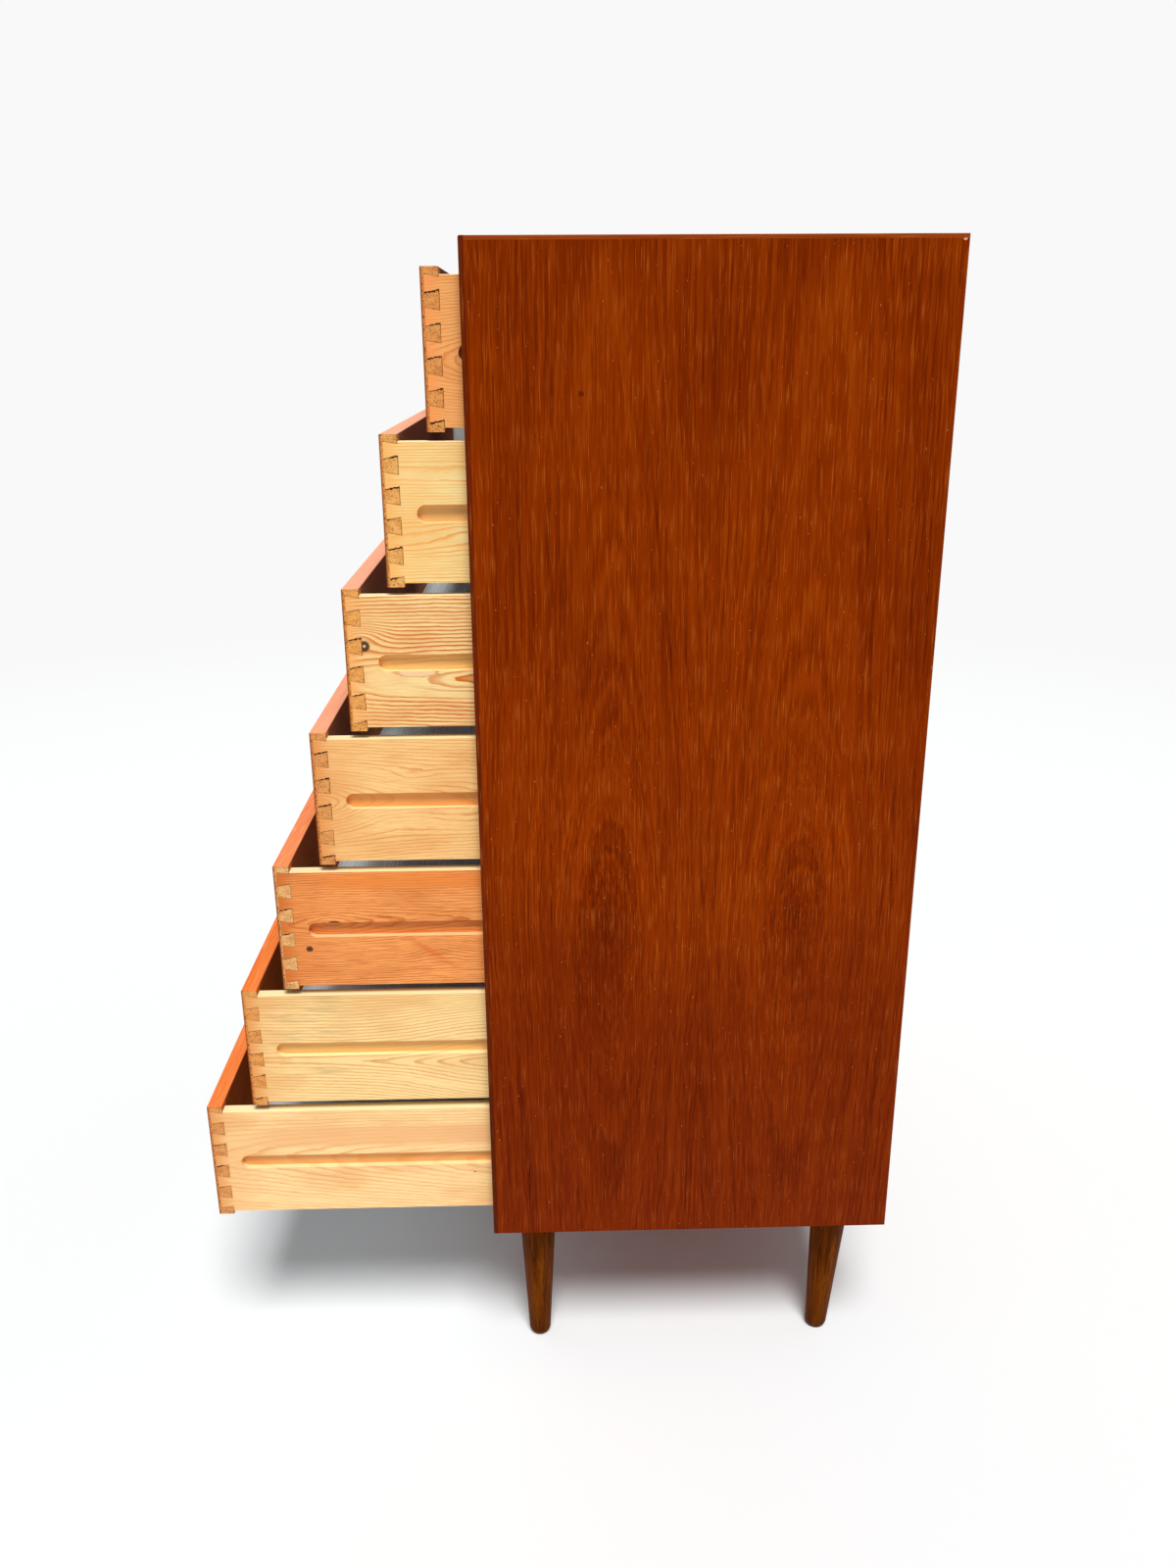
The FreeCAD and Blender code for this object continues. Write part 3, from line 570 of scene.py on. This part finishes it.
def end_grain(finish, y, z, wood, seed):
    """The ends of a front, with faint rings and dark pores."""
    rings = finish.noise(y * 0.12, z * 0.2, seed)
    mottle = finish.noise(y * 0.7, z * 0.7, seed + 2, detail=3, roughness=0.7)
    pale = tint(*wood)
    dark = tint(*(channel * share for channel, share in zip(wood, END_DARK_SHARES)))
    ends = finish.ramp(rings * 0.45 + mottle * 0.65, (0.4, dark), (0.62, pale))
    specks = finish.spots(y * 0.9, z * 0.9, seed + 5, 0.57, 0.66, detail=2, roughness=0.65)
    return finish.mix(specks * 0.85, ends, END_SPECK), specks


print("end grain for", len(END_WOOD), "fronts")

# %% [markdown]
# ## The drawer fronts
#
# A front is solid wood faced with teak. Its face shows dark teak with level grain, and its upper edge shows
# the lighter solid wood, made lighter still as painted top light, with painted glare on the upper drawers.
# Its inner face is darkened with painted shade, and its ends show end grain. These could be four materials,
# each given to its own faces. One finish that asks which way the surface points is simpler, and the front
# stays one piece, as it is in the workshop.

# %% A front with its four kinds of face
# How much painted glare pales each front's solid edge
EDGE_GLARE = {1: 0.55, 2: 0.55, 3: 0.5, 4: 0.4, 5: 0.12, 6: 0.0, 7: 0.0}
GLARE_PALE = tint(255, 208, 184)
# The solid edge's teak, lighter partly as painted top light
EDGE_TEAK_AND_TOP_LIGHT = (tint(206, 92, 36), tint(238, 126, 60), tint(250, 156, 92), tint(252, 186, 134))
# Painted shade for the inner face
INNER_PAINTED_SHADE = tint(150, 70, 30)
LAP_WOOD = tint(206, 116, 56)
FACING_WOOD = tint(128, 50, 18)

# In millimetres: how far each front's figure lies aside and up from the middle of its swing, how deep the lap
# over the dovetails fades in, and how deep the teak facing goes
FIGURE_ASIDE = 230
FIGURE_MIDDLE = 60
FIGURE_UP = 90
LAP_FADE = (1.5, 5.0)
FACING_DEEP = (0.5, 1.5)


def front_finish(drawer):
    """Dark teak outside, a pale upper edge with painted top light and glare, end grain on the ends, painted
    shade inside.
    """
    seed = 100.0 + drawer * 13
    finish = Finish(f"teak drawer {drawer} front")
    corner = FRONT_LOW[drawer]
    x, y, z = finish.lengths((0, corner.y, corner.z))
    facing_x, facing_y, facing_z = finish.facing()
    eye_x = FIGURE_ASIDE * math.sin(drawer * 2.4)
    eye_z = FIGURE_MIDDLE + FIGURE_UP * math.sin(drawer * 1.7)
    sway = finish.wave(x * 0.004, z * 0.015, seed)
    rings = finish.distance((x - eye_x) * 0.15, z - eye_z, 5.0) + y * 0.9 + sway * 24
    tone, pores = teak_tone(finish, x, z + y, rings, seed)
    colour = teak_colour(finish, tone, pores)
    # The solid wood of the edges, lighter partly as painted top light
    solid = teak_colour(finish, tone, pores, *EDGE_TEAK_AND_TOP_LIGHT)
    # Painted glare pales the upper edges of the upper drawers
    solid = finish.mix(EDGE_GLARE[drawer], solid, GLARE_PALE)
    # Painted shade darkens the inner face
    solid = finish.mix(finish.smooth(facing_y, 0.5, 0.8) * 0.5, solid, INNER_PAINTED_SHADE)
    colour = finish.mix(finish.smooth(finish.math("MAXIMUM", facing_z, facing_y), 0.5, 0.8), colour, solid)
    ends = finish.math("GREATER_THAN", abs(facing_x), 0.7)
    grain, specks = end_grain(finish, y, z, END_WOOD[drawer], seed)
    lap = 1 - finish.smooth(y, *LAP_FADE)
    grain = finish.mix(lap * 0.4, grain, LAP_WOOD)
    facing_line = 1 - finish.smooth(y + (specks - 0.5) * 0.5, *FACING_DEEP)
    grain = finish.mix(facing_line * 0.75, grain, FACING_WOOD)
    colour = finish.mix(ends, colour, grain)
    gaps = dovetail_gaps(finish, x, y, z, drawer)
    colour = finish.mix(gaps, colour, GAP)
    oiled = finish.smooth(facing_y * -1, 0.5, 0.8) * 0.12
    finish.set(base_color=colour, roughness=0.42 + ends * 0.3 + pores * 0.1, specular_ior_level=0.0,
               coat_weight=oiled, coat_roughness=0.4)
    finish.bump(tone * 0.3 - pores * 0.5 - specks * ends - gaps * 3, millimetres=0.12, strength=0.5)
    return finish


for drawer in range(1, DRAWERS + 1):
    dress(front_finish(drawer), f"drawer_{drawer}_front")
print(DRAWERS, "fronts with teak faces and end-grain ends")

# %% [markdown]
# ## Seven kinds of pine
#
# The sides are pine, and no two boards are alike: some are pale with a few wide arches, one is bold and
# wavy, one is reddish with knots. A board is described by a short list: its colours, how far apart the
# rings are, and where their eye lies. An eye also says how fast rings follow it along the board, how soon
# they run straight, how blunt its near end is and how its axis tilts. Soft hills push lines aside, as knots
# do. Some boards have more: a level band or a slanting streak of warmer wood, grey stains, a splintered
# place, lines that stay steady above the groove, or a groove less dark than the others'. One function turns
# a list into a finish.

# %% What each board looks like
# A board's deep colour is for the groove's cut face, darker partly as painted shade
PINE = {
    1: dict(pale=(255, 192, 118), line=(220, 124, 56), front=(255, 160, 88), deep=(226, 140, 74), gap=2.3,
            eye=(75, 57, 0.3, 300, 0, 0), sway=4, bold=0.9, fine=0.4, steady=0.3, hills=()),
    2: dict(pale=(255, 228, 158), line=(246, 168, 80), front=(255, 186, 104), deep=(238, 184, 116), gap=3.2,
            eye=(40, -200, 0, 1, 0, 0), sway=4, bold=1.0, fine=0.3,
            hills=((40, 103, 300, 10, -5), (40, 88, 300, 10, 5), (40, 53, 300, 13, -5), (40, 31, 300, 13, 5),
                   (80, 45, 40, 16, -5))),
    3: dict(pale=(255, 224, 156), line=(216, 116, 44), front=(250, 178, 104), deep=(255, 196, 112), gap=3.4,
            eye=(150, 47, 0.12, 2000, 0, 0), sway=5, bold=1.1, fine=0.25, steady=0.7, rise=0.3,
            hills=((14, 86, 20, 12, -11),), knots=((17, 77, 5.0, 1.0, 0.9),), splinter=(61, 53, 19, 4.0)),
    4: dict(pale=(255, 208, 138), line=(218, 130, 56), front=(232, 148, 78), deep=(244, 162, 82), gap=2.9,
            eye=(5, 60, 0.5, 80, 0.6, 0), sway=4, bold=0.65, fine=0.35,
            hills=((88, 84, 24, 7, 6), (70, 44, 45, 14, 8))),
    5: dict(pale=(255, 168, 94), line=(180, 84, 26), front=(208, 108, 44), deep=(218, 126, 60), gap=2.4,
            eye=(50, 68, 0.45, 40, 0, 0.02), sway=3.5, bold=0.7, fine=0.55, steady=0.3, cut=0.45,
            hills=((150, 43, 26, 14, 7),), knots=((28, 42, 3.0, 0.9, 0.0), (53, 68.5, 2.4, 0.4, 0.0)),
            band=(111, 9, (236, 134, 56)), streak=(141, 38, -0.69, 20, 3.2, (220, 108, 42))),
    6: dict(pale=(255, 220, 154), line=(214, 144, 70), front=(228, 150, 80), deep=(242, 184, 104), gap=3.4,
            eye=(240, 44, 0.03, 2000, 0, -0.03), sway=4, bold=0.75, fine=0.25, steady=0.25,
            hills=((250, 95, 90, 35, -18), (250, 5, 90, 30, -13), (240, 44, 70, 40, -9)), grey=0.6),
    7: dict(pale=(255, 216, 154), line=(218, 140, 72), front=(228, 152, 84), deep=(240, 164, 88), gap=3.3,
            eye=(400, 50, 0.117, 2000, 0, -0.047), sway=5, bold=0.5, fine=0.3, hills=(),
            band=(90, 14, (238, 176, 118)), knots=((262, 45, 1.0, 1.0, 0.0),)),
}
GREY_STAIN = tint(198, 166, 112)
SPLINTER_RIM = tint(206, 128, 66)
SPLINTER_WOOD = tint(255, 214, 164)
KNOT = tint(72, 40, 24)
KNOT_HEART = tint(236, 208, 176)

# In millimetres from the front's lower corner: where lines grow steady, where a warm band fades in, and where
# grey stains start and end, above the groove and round one place under it
STEADY_UP = (55, 70)
BAND_ALONG = (20, 70)
GREY_UP = (58, 72)
GREY_STARTS = (12, 30)
GREY_ENDS = (70, 120)
GREY_PLACE = (74, 38)
GREY_SIZE = (24, 8)

ring_gaps = [board["gap"] for board in PINE.values()]
print(len(PINE), "boards, with rings", min(ring_gaps), "to", max(ring_gaps), "mm apart")

# %% [markdown]
# ## From a list to a board
#
# A ring of pine is pale at first and ends in a thin dark line. Stretched noise alone would give lines in no
# order. So each point gets the number of its ring, from its distance to the eye, and the part after the
# decimal point says where in that ring it lies. Softer noise then bends the rings and makes some fainter.

# %% Pine from its list
def pine_rings(finish, board, y, z, seed):
    """Which ring of the tree a point lies in, as a running number."""
    sway = finish.wave(y * 0.011, z * 0.03, seed)
    shiver = finish.wave(y * 0.07, z * 0.2, seed + 4)
    eye_y, eye_z, reach, calm, blunt, tilt = board["eye"]
    beside = y - eye_y
    above = z - eye_z - beside * tilt
    beside = beside * reach / (1 + abs(beside) / calm) + finish.math("MINIMUM", beside, 0.0) * blunt
    depth = finish.distance(beside, above, 3.0)
    for hill_y, hill_z, wide, tall, push in board["hills"]:
        depth = depth + finish.bump_round((y - hill_y) / wide, (z - hill_z) / tall) * push
    return (depth + sway * board["sway"] + shiver * 1.8) / board["gap"]


def pine_colour(finish, board, y, z, seed):
    """Pale wood with a thin darker line at the end of each ring, and streaks and stains."""
    pale, dark = tint(*board["pale"]), tint(*board["line"])
    rings = pine_rings(finish, board, y, z, seed)
    uneven = finish.noise(rings * 0.35, y * 0.006, seed + 8, detail=1)
    part = finish.math("FRACT", rings)
    line = finish.smooth(part, board.get("rise", 0.5), 0.92) * (1 - finish.smooth(part, 0.94, 1.0))
    steady = finish.smooth(z, *STEADY_UP) * board.get("steady", 0.0)
    line = line * (finish.smooth(uneven, 0.22, 0.55) * (1 - steady) + steady) * board["bold"]
    fibres = finish.noise(y * 0.035, z * 0.9, seed + 12, detail=3, roughness=0.65)
    colour = finish.mix(line, pale, dark)
    colour = finish.mix(finish.smooth(fibres, 0.42, 0.68) * board["fine"], colour, dark)
    clouds = finish.noise(y * 0.012, z * 0.03, seed + 16)
    colour = finish.mix(finish.smooth(clouds, 0.45, 0.7) * 0.3, colour, dark)
    if "grey" in board:
        stain = finish.spots(y * 0.018, z * 0.22, seed + 20, 0.46, 0.68, detail=3)
        above = finish.smooth(z, *GREY_UP) * (1 - finish.smooth(y, *GREY_ENDS))
        above = above * finish.smooth(y, *GREY_STARTS)
        below = finish.bump_round((y - GREY_PLACE[0]) / GREY_SIZE[0], (z - GREY_PLACE[1]) / GREY_SIZE[1])
        stain = stain * finish.math("MAXIMUM", above, below)
        colour = finish.mix(stain * board["grey"], colour, GREY_STAIN)
    if "band" in board:
        middle, half, warm = board["band"]
        band = 1 - finish.smooth(abs(z - middle + (fibres - 0.5) * 6), half * 0.6, half)
        colour = finish.mix(band * 0.7 * finish.smooth(y, *BAND_ALONG), colour, tint(*warm))
    if "streak" in board:
        middle_y, middle_z, slope, half, thick, warm = board["streak"]
        beside = y - middle_y
        aside = beside / half
        above = z - middle_z - beside * slope + (fibres - 0.5) * 4
        streak = finish.bump_round(aside, above / thick)
        colour = finish.mix(streak * 0.65, colour, tint(*warm))
    if "splinter" in board:
        patch_y, patch_z, wide, tall = board["splinter"]
        ragged = finish.noise(y * 0.14, z * 0.3, seed + 24, detail=3, roughness=0.7)
        reach = finish.distance((y - patch_y) / wide, (z - patch_z) / tall) + (ragged - 0.5) * 0.9
        colour = finish.mix((1 - finish.smooth(reach, 0.96, 1.16)) * 0.65, colour, SPLINTER_RIM)
        colour = finish.mix((1 - finish.smooth(reach, 0.8, 0.94)) * 0.85, colour, SPLINTER_WOOD)
    return colour, line, fibres


def add_knots(finish, colour, board, y, z, fibres):
    """Dark knots, some with a pale heart."""
    for knot_y, knot_z, size, flat, pith in board.get("knots", ()):
        near = finish.distance((y - knot_y) * flat, z - knot_z) + (fibres - 0.5) * 1.6
        dark = 1 - finish.smooth(near, size * 0.75, size * 1.15)
        colour = finish.mix(dark * 0.95, colour, KNOT)
        if pith:
            heart = 1 - finish.smooth(near, size * 0.12, size * 0.34)
            colour = finish.mix(heart * pith, colour, KNOT_HEART)
    return colour


print("pine with", sum(len(board.get("knots", ())) for board in PINE.values()), "knots in all")

# %% [markdown]
# ## The drawer sides
#
# A side shows pine outside and on its edges, and grey inside. Its upward faces, the top edge most, are
# painted paler as top light. The cut face in the runner groove is darker, partly as the cut wood's own colour
# and partly as painted shade in the groove. The groove's floor could be picked out face by face. Asking how
# deep a point lies under the outer face does it in one step, and for both sides of a drawer. Near the front
# the wood is darker.

# %% Sides
GREY_INSIDE = tint(212, 216, 213)
# Pale colour for painted top light on upward faces
TOP_LIGHT_PALE = tint(255, 236, 180)

# In millimetres: how far back the wood is darker near the front, strongly and faintly, how deep the groove's
# cut face with its painted shade starts, and how thick a band along the top gets the stronger painted top
# light
NEAR_FRONT = (2, 20)
FADING = (10, 60)
CUT_DEEP = (1.0, 2.5)
TOP_LIGHT_BAND = 12


def side_finish(drawer):
    """Pine outside and on the edges, grey inside, with the dovetail lines at the front."""
    board = PINE[drawer]
    seed = 300.0 + drawer * 17
    finish = Finish(f"pine drawer {drawer} side")
    corner = FRONT_LOW[drawer]
    x, y, z = finish.lengths((0, corner.y, corner.z))
    facing_x, _, facing_z = finish.facing()
    sunk = FRONT_HALF - abs(x)
    colour, line, fibres = pine_colour(finish, board, y, z + sunk * 0.4, seed)
    near_front = 1 - finish.smooth(y, *NEAR_FRONT)
    fading = 1 - finish.smooth(y, *FADING)
    colour = finish.mix(near_front * 0.6 + fading * 0.3, colour, tint(*board["front"]))
    colour = add_knots(finish, colour, board, y, z, fibres)
    # The groove's cut face: partly the cut wood's own colour, partly painted shade in the groove
    cut_face_and_shade = finish.smooth(sunk, *CUT_DEEP) * finish.math("GREATER_THAN", facing_x * x, 0.5)
    colour = finish.mix(cut_face_and_shade * board.get("cut", 0.7), colour, tint(*board["deep"]))
    # Painted top light: upward faces are paler, the top edge most
    upper = finish.smooth(facing_z, 0.3, 0.7)
    upper = upper * (0.5 + finish.math("GREATER_THAN", z, FRONT_TALL - TOP_LIGHT_BAND) * 0.35)
    colour = finish.mix(upper, colour, TOP_LIGHT_PALE)
    inside = finish.math("LESS_THAN", facing_x * x, -0.5)
    inside = inside * finish.math("GREATER_THAN", sunk, SIDE_THICK - 0.3)
    colour = finish.mix(inside, colour, GREY_INSIDE)
    gaps = dovetail_gaps(finish, x, y, z, drawer)
    colour = finish.mix(gaps, colour, GAP)
    finish.set(base_color=colour, roughness=0.5 + line * 0.1, specular_ior_level=0.15)
    finish.bump(fibres * 0.5 + line * 0.6 - gaps * 3, millimetres=0.08, strength=0.4)
    return finish


for drawer in range(1, DRAWERS + 1):
    dress(side_finish(drawer), f"drawer_{drawer}_side_left", f"drawer_{drawer}_side_right")
print(DRAWERS, "pairs of pine sides")

# %% [markdown]
# ## Drawer backs and floors
#
# The back is pine on its top edge and behind, and grey inside like the sides. The floor is a thin grey
# panel with a satin film and fine streaks from side to side, so light runs over it in a soft band.
# Roughness that changes with the streaks gives that band its brushed look.

# %% Backs and floors
def back_finish(drawer):
    """Pine with the inner face grey."""
    seed = 500.0 + drawer * 11
    finish = Finish(f"pine drawer {drawer} back")
    corner = FRONT_LOW[drawer]
    x, _, z = finish.lengths((0, corner.y, corner.z))
    facing_y = finish.facing()[1]
    board = dict(PINE[drawer % DRAWERS + 1], hills=())
    for mark in ("band", "grey", "streak", "splinter"):
        board.pop(mark, None)
    colour, line, fibres = pine_colour(finish, board, x, z, seed)
    colour = finish.mix(finish.smooth(facing_y * -1, 0.5, 0.8), colour, GREY_INSIDE)
    finish.set(base_color=colour, roughness=0.52 + line * 0.1, specular_ior_level=0.2)
    finish.bump(fibres * 0.5 + line * 0.6, millimetres=0.08, strength=0.4)
    return finish


FILM_GREYS = (tint(226, 235, 240), tint(240, 249, 253))


def floor_panel_finish():
    """Grey film with fine streaks along X."""
    finish = Finish("grey drawer floor")
    x, y = finish.lengths()[:2]
    streaks = finish.noise(x * 0.008, y * 0.7, 600.0, detail=3, roughness=0.65)
    patches = finish.noise(x * 0.006, y * 0.02, 604.0)
    colour = finish.ramp(streaks * 0.6 + patches * 0.4, *zip((0.36, 0.64), FILM_GREYS))
    finish.set(base_color=colour, roughness=0.18 + streaks * 0.18, specular_ior_level=0.7)
    finish.bump(streaks, millimetres=0.02, strength=0.25)
    return finish


for drawer in range(1, DRAWERS + 1):
    dress(back_finish(drawer), f"drawer_{drawer}_back")
dress(floor_panel_finish(), *[f"drawer_{drawer}_bottom" for drawer in range(1, DRAWERS + 1)])
print("backs and floors finished")

# %% [markdown]
# ## Pulls
#
# The pulls are solid teak like the fronts, and a little polished where fingers reach. They could share the
# fronts' finish. One of their own sets the rings closer together, as so small a piece needs, and is
# smoother.

# %% Pulls
PULL_TEAK = (tint(96, 30, 6), tint(138, 52, 12), tint(162, 72, 22))
PULL_ROUGHNESS = 0.34


def pull_finish():
    """Solid teak with level grain, smoother than the fronts."""
    finish = Finish("teak pull")
    x, y, z = finish.lengths((0, 0, PANEL_BASE))
    sway = finish.wave(x * 0.008, z * 0.05, 700.0)
    tone, pores = teak_tone(finish, x, z * 1.2 + y, z * 1.6 + y * 1.3 + sway * 14, 702.0)
    finish.set(base_color=teak_colour(finish, tone, pores, *PULL_TEAK))
    satin_teak(finish, tone, pores, PULL_ROUGHNESS)
    return finish


pull_teak = pull_finish()
dress(pull_teak, *[f"drawer_{drawer}_pull" for drawer in range(1, DRAWERS + 1)])
print(DRAWERS, "teak pulls")

# %% [markdown]
# ## Legs
#
# The legs are turned from a plainer wood and stained brown, with fine upright grain that is darker towards
# the foot. A picture wrapped round a leg would show its seam. Noise that fills space has none, and a number
# made from each leg's name gives it grain of its own.

# %% Legs
STAINED = (tint(62, 22, 0), tint(94, 42, 1), tint(122, 62, 8))
STAIN_FLECK = tint(52, 20, 0)
STAIN_FOOT = tint(50, 20, 0)
LEG_OIL = tint(255, 180, 110)
FOOT = (0, 60)


def leg_finish(name):
    """Brown-stained wood with fine grain along the leg, darker at the foot."""
    low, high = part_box(name)
    finish = Finish(f"stained {name}".replace("_", " "))
    x, y, z = finish.lengths(((low.x + high.x) / 2, (low.y + high.y) / 2, 0))
    seed = 720.0 + sum(map(ord, name)) % 37
    bands = finish.noise(x * 0.22, y * 0.22, z * 0.012)
    fibres = finish.noise(x * 1.4, y * 1.4, z * 0.03 + seed, detail=3, roughness=0.6)
    flecks = finish.spots(x * 1.1, y * 1.1, z * 0.16 + seed, 0.62, 0.74)
    tone = bands * 0.55 + fibres * 0.6 - 0.08
    colour = finish.ramp(tone, *zip((0.34, 0.5, 0.66), STAINED))
    colour = finish.mix(flecks * 0.5, colour, STAIN_FLECK)
    colour = finish.mix((1 - finish.smooth(z, *FOOT)) * 0.3, colour, STAIN_FOOT)
    finish.set(base_color=colour, roughness=0.4 + fibres * 0.15, specular_ior_level=0.03,
               specular_tint=LEG_OIL)
    finish.bump(fibres - flecks, millimetres=0.06, strength=0.4)
    return finish


LEGS = ("leg_front_left", "leg_front_right", "leg_rear_left", "leg_rear_right")
for name in LEGS:
    dress(leg_finish(name), name)
print(len(LEGS), "stained legs")

# %% [markdown]
# ## The back of the chest
#
# The back is thin birch ply, pale, with faint wide arches from the way its face is peeled off the log. Its
# narrow edges show the plies as stripes. Two materials would do, but the way a face points is enough to
# tell the edges apart.

# %% Back panel of birch ply
PLY_PALE = tint(196, 152, 104)
PLY_LINE = tint(166, 116, 72)
PLY_FIBRE = tint(150, 104, 66)
PLY_EDGE = tint(120, 78, 48)

# Where the arches have their middle, in millimetres, and how many rings and plies there are in one
ARCH_X, ARCH_Z = 60, 300
PLY_RINGS = 0.07
PLIES = 0.6


def ply_finish():
    """Pale brown ply with upright grain, fine darker fibres, and plies that show on its edges."""
    finish = Finish("birch ply back")
    x, y, z = finish.lengths((0, 0, PANEL_BASE))
    sway = finish.wave(x * 0.004, z * 0.002, 760.0)
    rings = finish.distance(x - ARCH_X, (z - ARCH_Z) * 0.08, 5.0) * PLY_RINGS + sway * 10
    rings = rings + finish.noise(x * 0.05, z * 0.006, 764.0, detail=3) * 1.6
    part = finish.math("FRACT", rings)
    faint = finish.spots(rings * 0.4, z * 0.002, 766.0, 0.3, 0.66)
    line = finish.smooth(part, 0.1, 0.8) * (1 - finish.smooth(part, 0.85, 1.0)) * faint
    fibres = finish.noise(x * 0.9, z * 0.02, 768.0, detail=3, roughness=0.6)
    colour = finish.mix(line * 0.45, PLY_PALE, PLY_LINE)
    colour = finish.mix(finish.smooth(fibres, 0.45, 0.75) * 0.4, colour, PLY_FIBRE)
    ends = finish.math("LESS_THAN", abs(finish.facing()[1]), 0.5)
    plies = finish.math("FRACT", y * PLIES)
    colour = finish.mix(ends * finish.smooth(plies, 0.4, 0.6) * 0.5, colour, PLY_EDGE)
    finish.set(base_color=colour, roughness=0.62 + fibres * 0.15, specular_ior_level=0.3)
    finish.bump(fibres + line * 0.4, millimetres=0.06, strength=0.4)
    return finish


dress(ply_finish(), "back_panel")
print("back panel in birch ply")

# %% [markdown]
# ## Runners and dowels
#
# The runners and dowels are beech, known by its short brown flecks. They are small and mostly hidden, so
# rings would hardly be seen: noise stretched along the grain, and flecks from a second noise, are enough.

# %% Beech
BEECH = (tint(196, 144, 96), tint(226, 182, 134))
BEECH_FLECK = tint(160, 104, 62)


def beech_finish(name, seed):
    """Pinkish beech with short flecks along Y."""
    finish = Finish(name)
    x, y, z = finish.lengths()
    fibres = finish.noise(x * 0.9, y * 0.03, z * 0.9 + seed, detail=3, roughness=0.6)
    flecks = finish.spots(x * 1.2, y * 0.3, z * 1.2 + seed, 0.62, 0.72)
    colour = finish.ramp(fibres, *zip((0.32, 0.68), BEECH))
    colour = finish.mix(flecks * 0.5, colour, BEECH_FLECK)
    finish.set(base_color=colour, roughness=0.5 + fibres * 0.15, specular_ior_level=0.3)
    finish.bump(fibres - flecks * 0.5, millimetres=0.05, strength=0.4)
    return finish


dress(beech_finish("beech runner", 800.0), "drawer_runners")
dress(beech_finish("beech dowel", 810.0), "carcass_dowels")
print("runners and dowels in beech")

# %% [markdown]
# ## Plates and screws
#
# The leg plates are zinc-plated steel with a faint rolled texture, and the screws are turned steel. One
# function makes both, because each is a metal with a cloudy colour and fine marks, and only its two colours
# and its roughness differ. They are small, but seen from below and with the drawers out they tell how the
# chest is put together.

# %% Steel
PLATED = (tint(205, 207, 208), tint(160, 163, 166))
TURNED = (tint(190, 184, 168), tint(146, 138, 120))


def steel_finish(name, bright, dull, roughness, seed):
    """Metal with a cloudy plated surface and fine marks."""
    finish = Finish(name)
    x, y, z = finish.lengths()
    clouds = finish.noise(x * 0.12, y * 0.12, z * 0.12 + seed, detail=3)
    marks = finish.noise(x * 2.5, y * 0.4, z * 0.4 + seed)
    finish.set(base_color=finish.ramp(clouds, (0.35, dull), (0.65, bright)), metallic=1.0,
               roughness=roughness + clouds * 0.2 + marks * 0.08)
    finish.bump(marks, millimetres=0.02, strength=0.3)
    return finish


dress(steel_finish("plated steel", *PLATED, 0.24, 820.0), "leg_plates")
dress(steel_finish("screw steel", *TURNED, 0.2, 830.0),
      "leg_studs", "leg_plate_screws", "runner_screws", "back_screws")
print("plates, studs and screws in steel")

# %% [markdown]
# ## Floor
#
# The chest stands on a plain pale floor. A backdrop that curves up behind it would do, but its bend can
# show in a low view. One big sheet that takes a shadow near the chest and fades out further off needs no
# bend, and no horizon shows.

# %% Floor
FLOOR_SIZE = 8.0
FLOOR_COLOUR = (0.832, 0.848, 0.852, 1)
FLOOR_FADES = (1.6, 3.6)


def floor_finish():
    """Matt pale floor that gives way to the background some way from the chest."""
    finish = Finish("studio floor")
    place = finish.node("TexCoord", out="Object")
    away = finish.node("VectorMath", {"operation": "LENGTH"}, {0: place}, out="Value")
    finish.set(base_color=FLOOR_COLOUR, roughness=1.0, specular_ior_level=0.0)
    clear = finish.node("BsdfTransparent", out="BSDF")
    output = finish.tree.nodes["Material Output"]
    shader = Value(finish, finish.shader.outputs["BSDF"])
    mixed = finish.node("MixShader", sockets={0: finish.smooth(away, *FLOOR_FADES), 1: shader, 2: clear})
    finish.give(output.inputs["Surface"], mixed)
    return finish


floor_mesh = bpy.data.meshes.new("studio floor")
corners = [(x * FLOOR_SIZE, y * FLOOR_SIZE, 0) for x, y in ((-1, -1), (1, -1), (1, 1), (-1, 1))]
floor_mesh.from_pydata(corners, [], [(0, 1, 2, 3)])
floor = bpy.data.objects.new("studio_floor", floor_mesh)
floor_mesh.materials.append(floor_finish().material)
bpy.context.scene.collection.objects.link(floor)
print("floor", 2 * FLOOR_SIZE, "m square")

# %% [markdown]
# ## World and sun
#
# The light is soft: the world lights everything evenly, and one broad sun adds a gentle direction from the
# right and above. Square lamps would do this too, but a sun needs no place, so the light stays the same
# when the chest is drawn at another size. What the camera sees behind the chest is a pale colour of its
# own.

# %% World and sun
PALE = 0.947
LIGHT_LEVEL = 0.3
SUN_LEVEL = 3.22
SUN_FROM = (0.55, 0.06, 1.0)
SUN_SOFTNESS = 22

world = bpy.data.worlds.new("studio")
world.use_nodes = True
bpy.context.scene.world = world
studio = Finish("studio", world.node_tree)
studio.tree.nodes.clear()
rays = studio.node("LightPath", out=("Is Camera Ray", "Is Glossy Ray", "Is Transmission Ray"))
seen = studio.math("MAXIMUM", studio.math("MAXIMUM", rays[0], rays[1]), rays[2])
light = studio.node("Background", sockets={"Color": (1, 1, 1, 1), "Strength": LIGHT_LEVEL})
backdrop = studio.node("Background", sockets={"Color": (PALE, PALE, PALE, 1), "Strength": 1.0})
shown = studio.node("MixShader", sockets={0: seen, 1: light, 2: backdrop})
studio.node("OutputWorld", sockets={"Surface": shown})

sun_data = bpy.data.lights.new("soft sun", "SUN")
sun_data.energy = SUN_LEVEL
sun_data.angle = math.radians(SUN_SOFTNESS)
sun = bpy.data.objects.new("soft sun", sun_data)
sun.rotation_euler = Vector(SUN_FROM).to_track_quat("Z", "Y").to_euler()
bpy.context.scene.collection.objects.link(sun)
bpy.context.scene.view_settings.view_transform = "Standard"
print("world", LIGHT_LEVEL, "and sun", SUN_LEVEL)

# %% [markdown]
